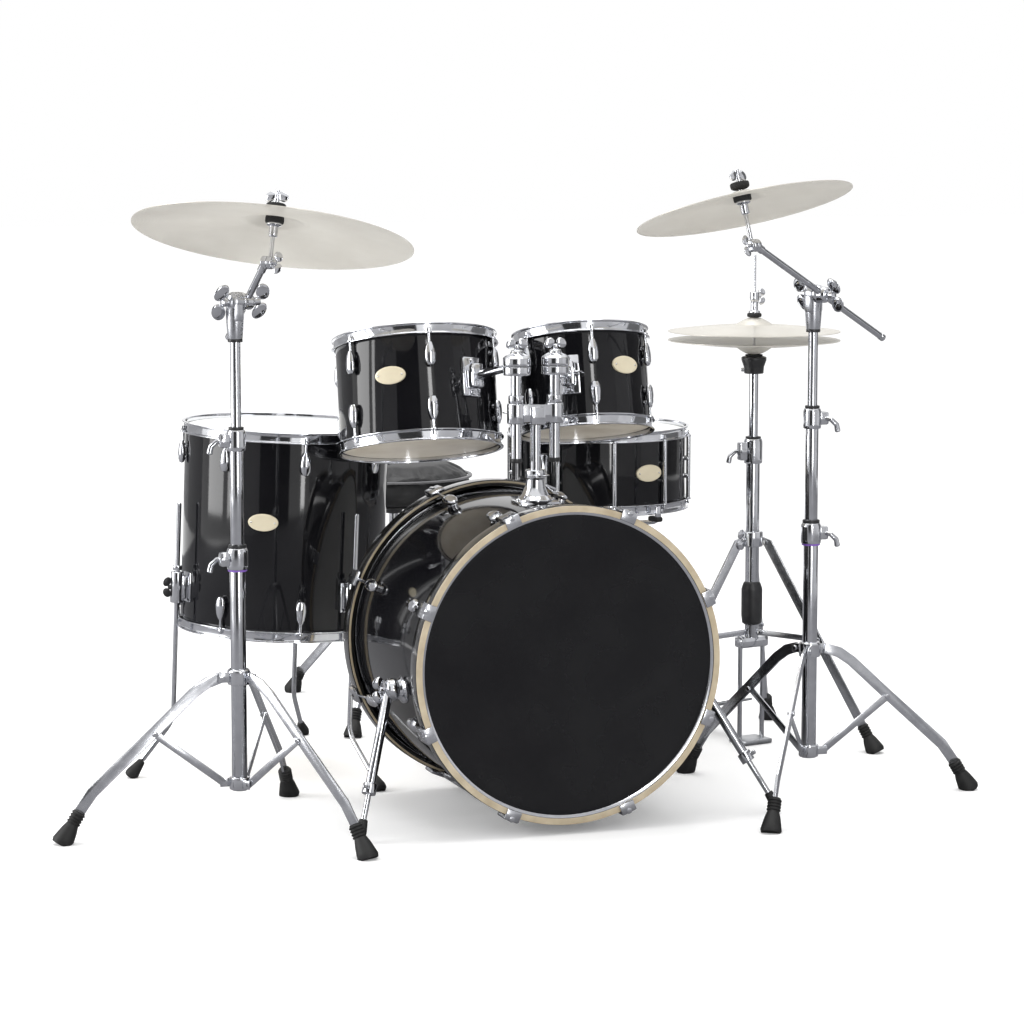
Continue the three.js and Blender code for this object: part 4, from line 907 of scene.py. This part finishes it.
def bass_pedal():
    place = at(0, 0)
    half, toe, heel, shaft = PEDAL["half"], PEDAL["toe"], PEDAL["heel"], PEDAL["shaft"]
    base = Assembly("bass_pedal_frame", "pedal_frame")
    start = BASS["length"] - 34
    base.block(place, (-half, start, 0.4), (half, heel + 26, 5), "pedal_steel", 1.2)
    base.block(place, (-24, start, 0.4), (24, start + 44, BASS["axis"] - BASS["hoop"] - 0.4), "rubber", 3)
    for side in (-1, 1):
        base.block(place, (side * half - (12 if side > 0 else 0), toe - 11, 1),
                   (side * half + (0 if side > 0 else 12), toe + 11, shaft + 15), "pedal_steel", 3)
        base.bolt(place @ shift(side * half, toe, shaft) @ turn(side * 90, "Y"), 9, 3)
        edge = PEDAL["board"] + 6.4
        base.block(place, (side * edge - 6, heel - 14, 1), (side * edge + 6, heel + 14, 30), "pedal_steel", 3)
    base.done()
    board = Assembly("bass_pedal_board", "pedal_footboard")
    footboard(board, place @ shift(0, heel, 18), heel - toe - 22, PEDAL["board"] - 4)
    board.done()
    beater = Assembly("bass_pedal_beater", "pedal_beater")
    axle = place @ shift(0, toe, shaft)
    beater.rod([axle @ Vector((-half + 2, 0, 0)), axle @ Vector((half - 2, 0, 0))], 5.6, "chrome", sides=6)
    beater.ring(axle @ turn(90, "Y"), [(5, -7), (20, -7), (17, 0), (20, 7), (5, 7)], "pedal_steel", 1.5, 40)
    stem = axle @ turn(-42, "X")
    beater.rod([stem @ Vector((0, 0, 4)), stem @ Vector((0, 0, PEDAL["beater"]))], 3.5, "chrome", sides=16)
    head = stem @ shift(0, 0, PEDAL["beater"]) @ turn(90, "X")
    beater.disc(head, [(0, -24), (14, -24), (20, -14), (20, 12), (15, 24), (0, 27)], "felt", 5, 40)
    beater.done()


def throne():
    place = at(*THRONE["place"])
    top, radius = THRONE["clamp"], THRONE["radius"]
    base = Assembly("throne_stand", "throne_base")
    base.ring(place, [(11.8, 76), (15, 76), (15, top - 30), (11.8, top - 30)], "chrome_tube", 1, 40)
    clamp(base, place, top - 42, top, 22, 200)
    base.ring(place, [(14, 284), (24, 284), (24, 318), (14, 318)], "chrome", 3, 40)
    base.ring(place, [(13, 80), (22, 80), (22, 102), (13, 102)], "chrome", 3, 40)
    turns = [THRONE["foot_turn"] + 120 * i for i in range(3)]
    simple_legs(base, place, turns, THRONE["foot_radius"], 300, 90)
    base.done()
    seat = Assembly("throne_seat_post", "throne_seat")
    low, high = THRONE["bottom"], THRONE["top"]
    seat.rod([place @ Vector((0, 0, 201)), place @ Vector((0, 0, low))], 10.6, "chrome_tube")
    seat.disc(place, [(0, low - 26), (18, low - 26), (24, low - 8), (70, low), (radius - 12, low), (radius - 12, low + 4),
                      (0, low + 4)], "black_plastic", 2, 64)
    # The piping ring at the seam carries the painted highlight: its lighter grey stands in for light caught along the
    # seam.
    seam = high - 31
    seat.ring(place, [(radius - 8, seam), (radius + 1, seam), (radius + 1, seam + 5), (radius - 8, seam + 5)],
              "piping_painted_highlight", 2, 96)
    seat.done(material_of={"piping_painted_highlight": PIPING_PAINTED_HIGHLIGHT})
    cushion(place, low, high, radius)


def cushion(place, low, high, radius):
    """Throne cushion: a closed cover inflated by the cloth solver with its base ring held."""
    pad = Assembly("throne_cushion", "throne_seat")
    outline = [(0, low + 2), (radius * 0.5, low + 2), (radius - 12, low + 3), (radius - 3, low + 12), (radius - 2, low + 34),
               (radius - 5, high - 24), (radius - 18, high - 12), (radius * 0.6, high - 7), (radius * 0.3, high - 6),
               (0, high - 6)]
    pad.lathe(place, soften(outline, 10, closed=False), "seat_vinyl", 96)
    piece = pad.done()[0]
    inflate(piece, (low + 20) * MM, (high + 6) * MM)


def inflate(piece, held_below, top_limit):
    remesh = piece.modifiers.new("remesh", "REMESH")
    remesh.mode = "VOXEL"
    remesh.voxel_size = 0.006
    remesh.use_smooth_shade = True
    bake_modifiers(piece)
    group = piece.vertex_groups.new(name="held")
    rest = [vertex.co.copy() for vertex in piece.data.vertices]
    group.add([i for i, point in enumerate(rest) if point.z < held_below], 1.0, "REPLACE")
    cloth = piece.modifiers.new("cloth", "CLOTH")
    cloth.settings.use_pressure = True
    cloth.settings.uniform_pressure_force = 4
    cloth.settings.effector_weights.gravity = 0
    cloth.settings.vertex_group_mass = "held"
    cloth.settings.quality = 5
    cloth.point_cache.frame_start = 1
    cloth.point_cache.frame_end = 16
    for number in range(1, 17):
        bpy.context.scene.frame_set(number)
    bake_modifiers(piece)
    bpy.context.scene.frame_set(1)
    for vertex, before in zip(piece.data.vertices, rest):
        moved = vertex.co - before
        if moved.length > 0.008:
            vertex.co = before + moved.normalized() * 0.008
        vertex.co.z = min(vertex.co.z, top_limit)


def bake_modifiers(piece):
    graph = bpy.context.evaluated_depsgraph_get()
    graph.update()
    shaped = bpy.data.meshes.new_from_object(piece.evaluated_get(graph), depsgraph=graph)
    piece.modifiers.clear()
    piece.data = shaped


# ------------------------------------------------------------------ studio

def card(name, place, size, shade, camera=False):
    """A flat studio card that only reflections see."""
    data = bpy.data.meshes.new(name)
    half_x, half_y = size[0] / 2, size[1] / 2
    corners = [(-half_x, -half_y, 0), (half_x, -half_y, 0), (half_x, half_y, 0), (-half_x, half_y, 0)]
    data.from_pydata(corners, [], [(0, 1, 2, 3)])
    panel = bpy.data.objects.new(name, data)
    panel.matrix_world = place
    material, tree, shader = nodes_of(name)
    shader.inputs["Base Color"].default_value = (*shade, 1)
    shader.inputs["Roughness"].default_value = 1
    data.materials.append(material)
    bpy.context.scene.collection.objects.link(panel)
    if not camera:
        panel.visible_camera = False
        panel.visible_diffuse = False
        panel.visible_shadow = False
        panel.visible_transmission = False
    return panel


def light(name, spot, target, size, power, shade=(1, 1, 1)):
    data = bpy.data.lights.new(name, "AREA")
    data.shape = "RECTANGLE"
    data.size, data.size_y = size
    data.energy = power
    data.color = shade
    lamp = bpy.data.objects.new(name, data)
    lamp.location = spot
    lamp.rotation_euler = (Vector(target) - Vector(spot)).to_track_quat("-Z", "Y").to_euler()
    lamp.visible_camera = False
    bpy.context.scene.collection.objects.link(lamp)


CAMERA = dict(spot=(-2.009, -6.281, 1.324), heading=-19.0, pitch=7.04, lens=115.25)


def studio():
    floor = card("floor", Matrix(), (60, 60), (0.93, 0.93, 0.93), camera=True)
    paint = floor.data.materials[0].node_tree.nodes["Principled BSDF"]
    paint.inputs["Emission Color"].default_value = (1, 1, 1, 1)
    paint.inputs["Emission Strength"].default_value = 0.12
    card("grey_ground", Matrix.Translation((0, -1.2, 0.0002)), (9, 9), (0.2, 0.2, 0.21))
    world = bpy.data.worlds.new("studio")
    world.use_nodes = True
    world.node_tree.nodes["Background"].inputs["Color"].default_value = (1, 1, 1, 1)
    world.node_tree.nodes["Background"].inputs["Strength"].default_value = 1.0
    bpy.context.scene.world = world

    def around(degrees, distance, height):
        angle = math.radians(CAMERA["heading"] + degrees)
        return Vector((math.sin(angle) * distance, -math.cos(angle) * distance, height))

    walls = ((-150, 0.3), (-118, 0.25), (-44, 0.35), (-12, 0.02), (42, 0.38), (74, 0.45), (106, 0.1), (138, 0.35))
    for i, (degrees, grey) in enumerate(walls):
        spot = around(degrees, 5.0, 1.9)
        face = (Vector((0, 0, 1.9)) - spot).to_track_quat("Z", "Y").to_matrix().to_4x4()
        card(f"grey_wall_{i}", Matrix.Translation(spot) @ face, (2.9, 4.6), (grey, grey, grey * 1.02))
    light("left_softbox", around(-80, 4.6, 1.9), (0, 0, 0.7), (1.8, 3.4), 110)
    light("left_strip", around(-62, 4.7, 1.8), (0, 0, 0.7), (0.35, 3.2), 22)
    light("right_strip", around(19, 4.8, 1.8), (0, 0, 0.7), (0.4, 3.4), 45)
    light("overhead", (0, 0, 4.2), (0, 0, 0), (3.0, 3.0), 110)

    data = bpy.data.cameras.new("camera")
    camera = bpy.data.objects.new("camera", data)
    camera.location = CAMERA["spot"]
    camera.rotation_euler = (math.radians(90 - CAMERA["pitch"]), 0, math.radians(CAMERA["heading"]))
    data.sensor_width = 36
    data.lens = CAMERA["lens"]
    data.clip_end = 100
    bpy.context.scene.collection.objects.link(camera)
    bpy.context.scene.camera = camera
    bpy.context.scene.view_settings.view_transform = "Standard"


bass_drum()
spurs()
tom_mount()
rack_tom(MID_TOM)
rack_tom(HIGH_TOM)
floor_tom()
snare()
boom_stand(LEFT_STAND)
boom_stand(RIGHT_STAND)
hi_hat()
bass_pedal()
throne()
studio()
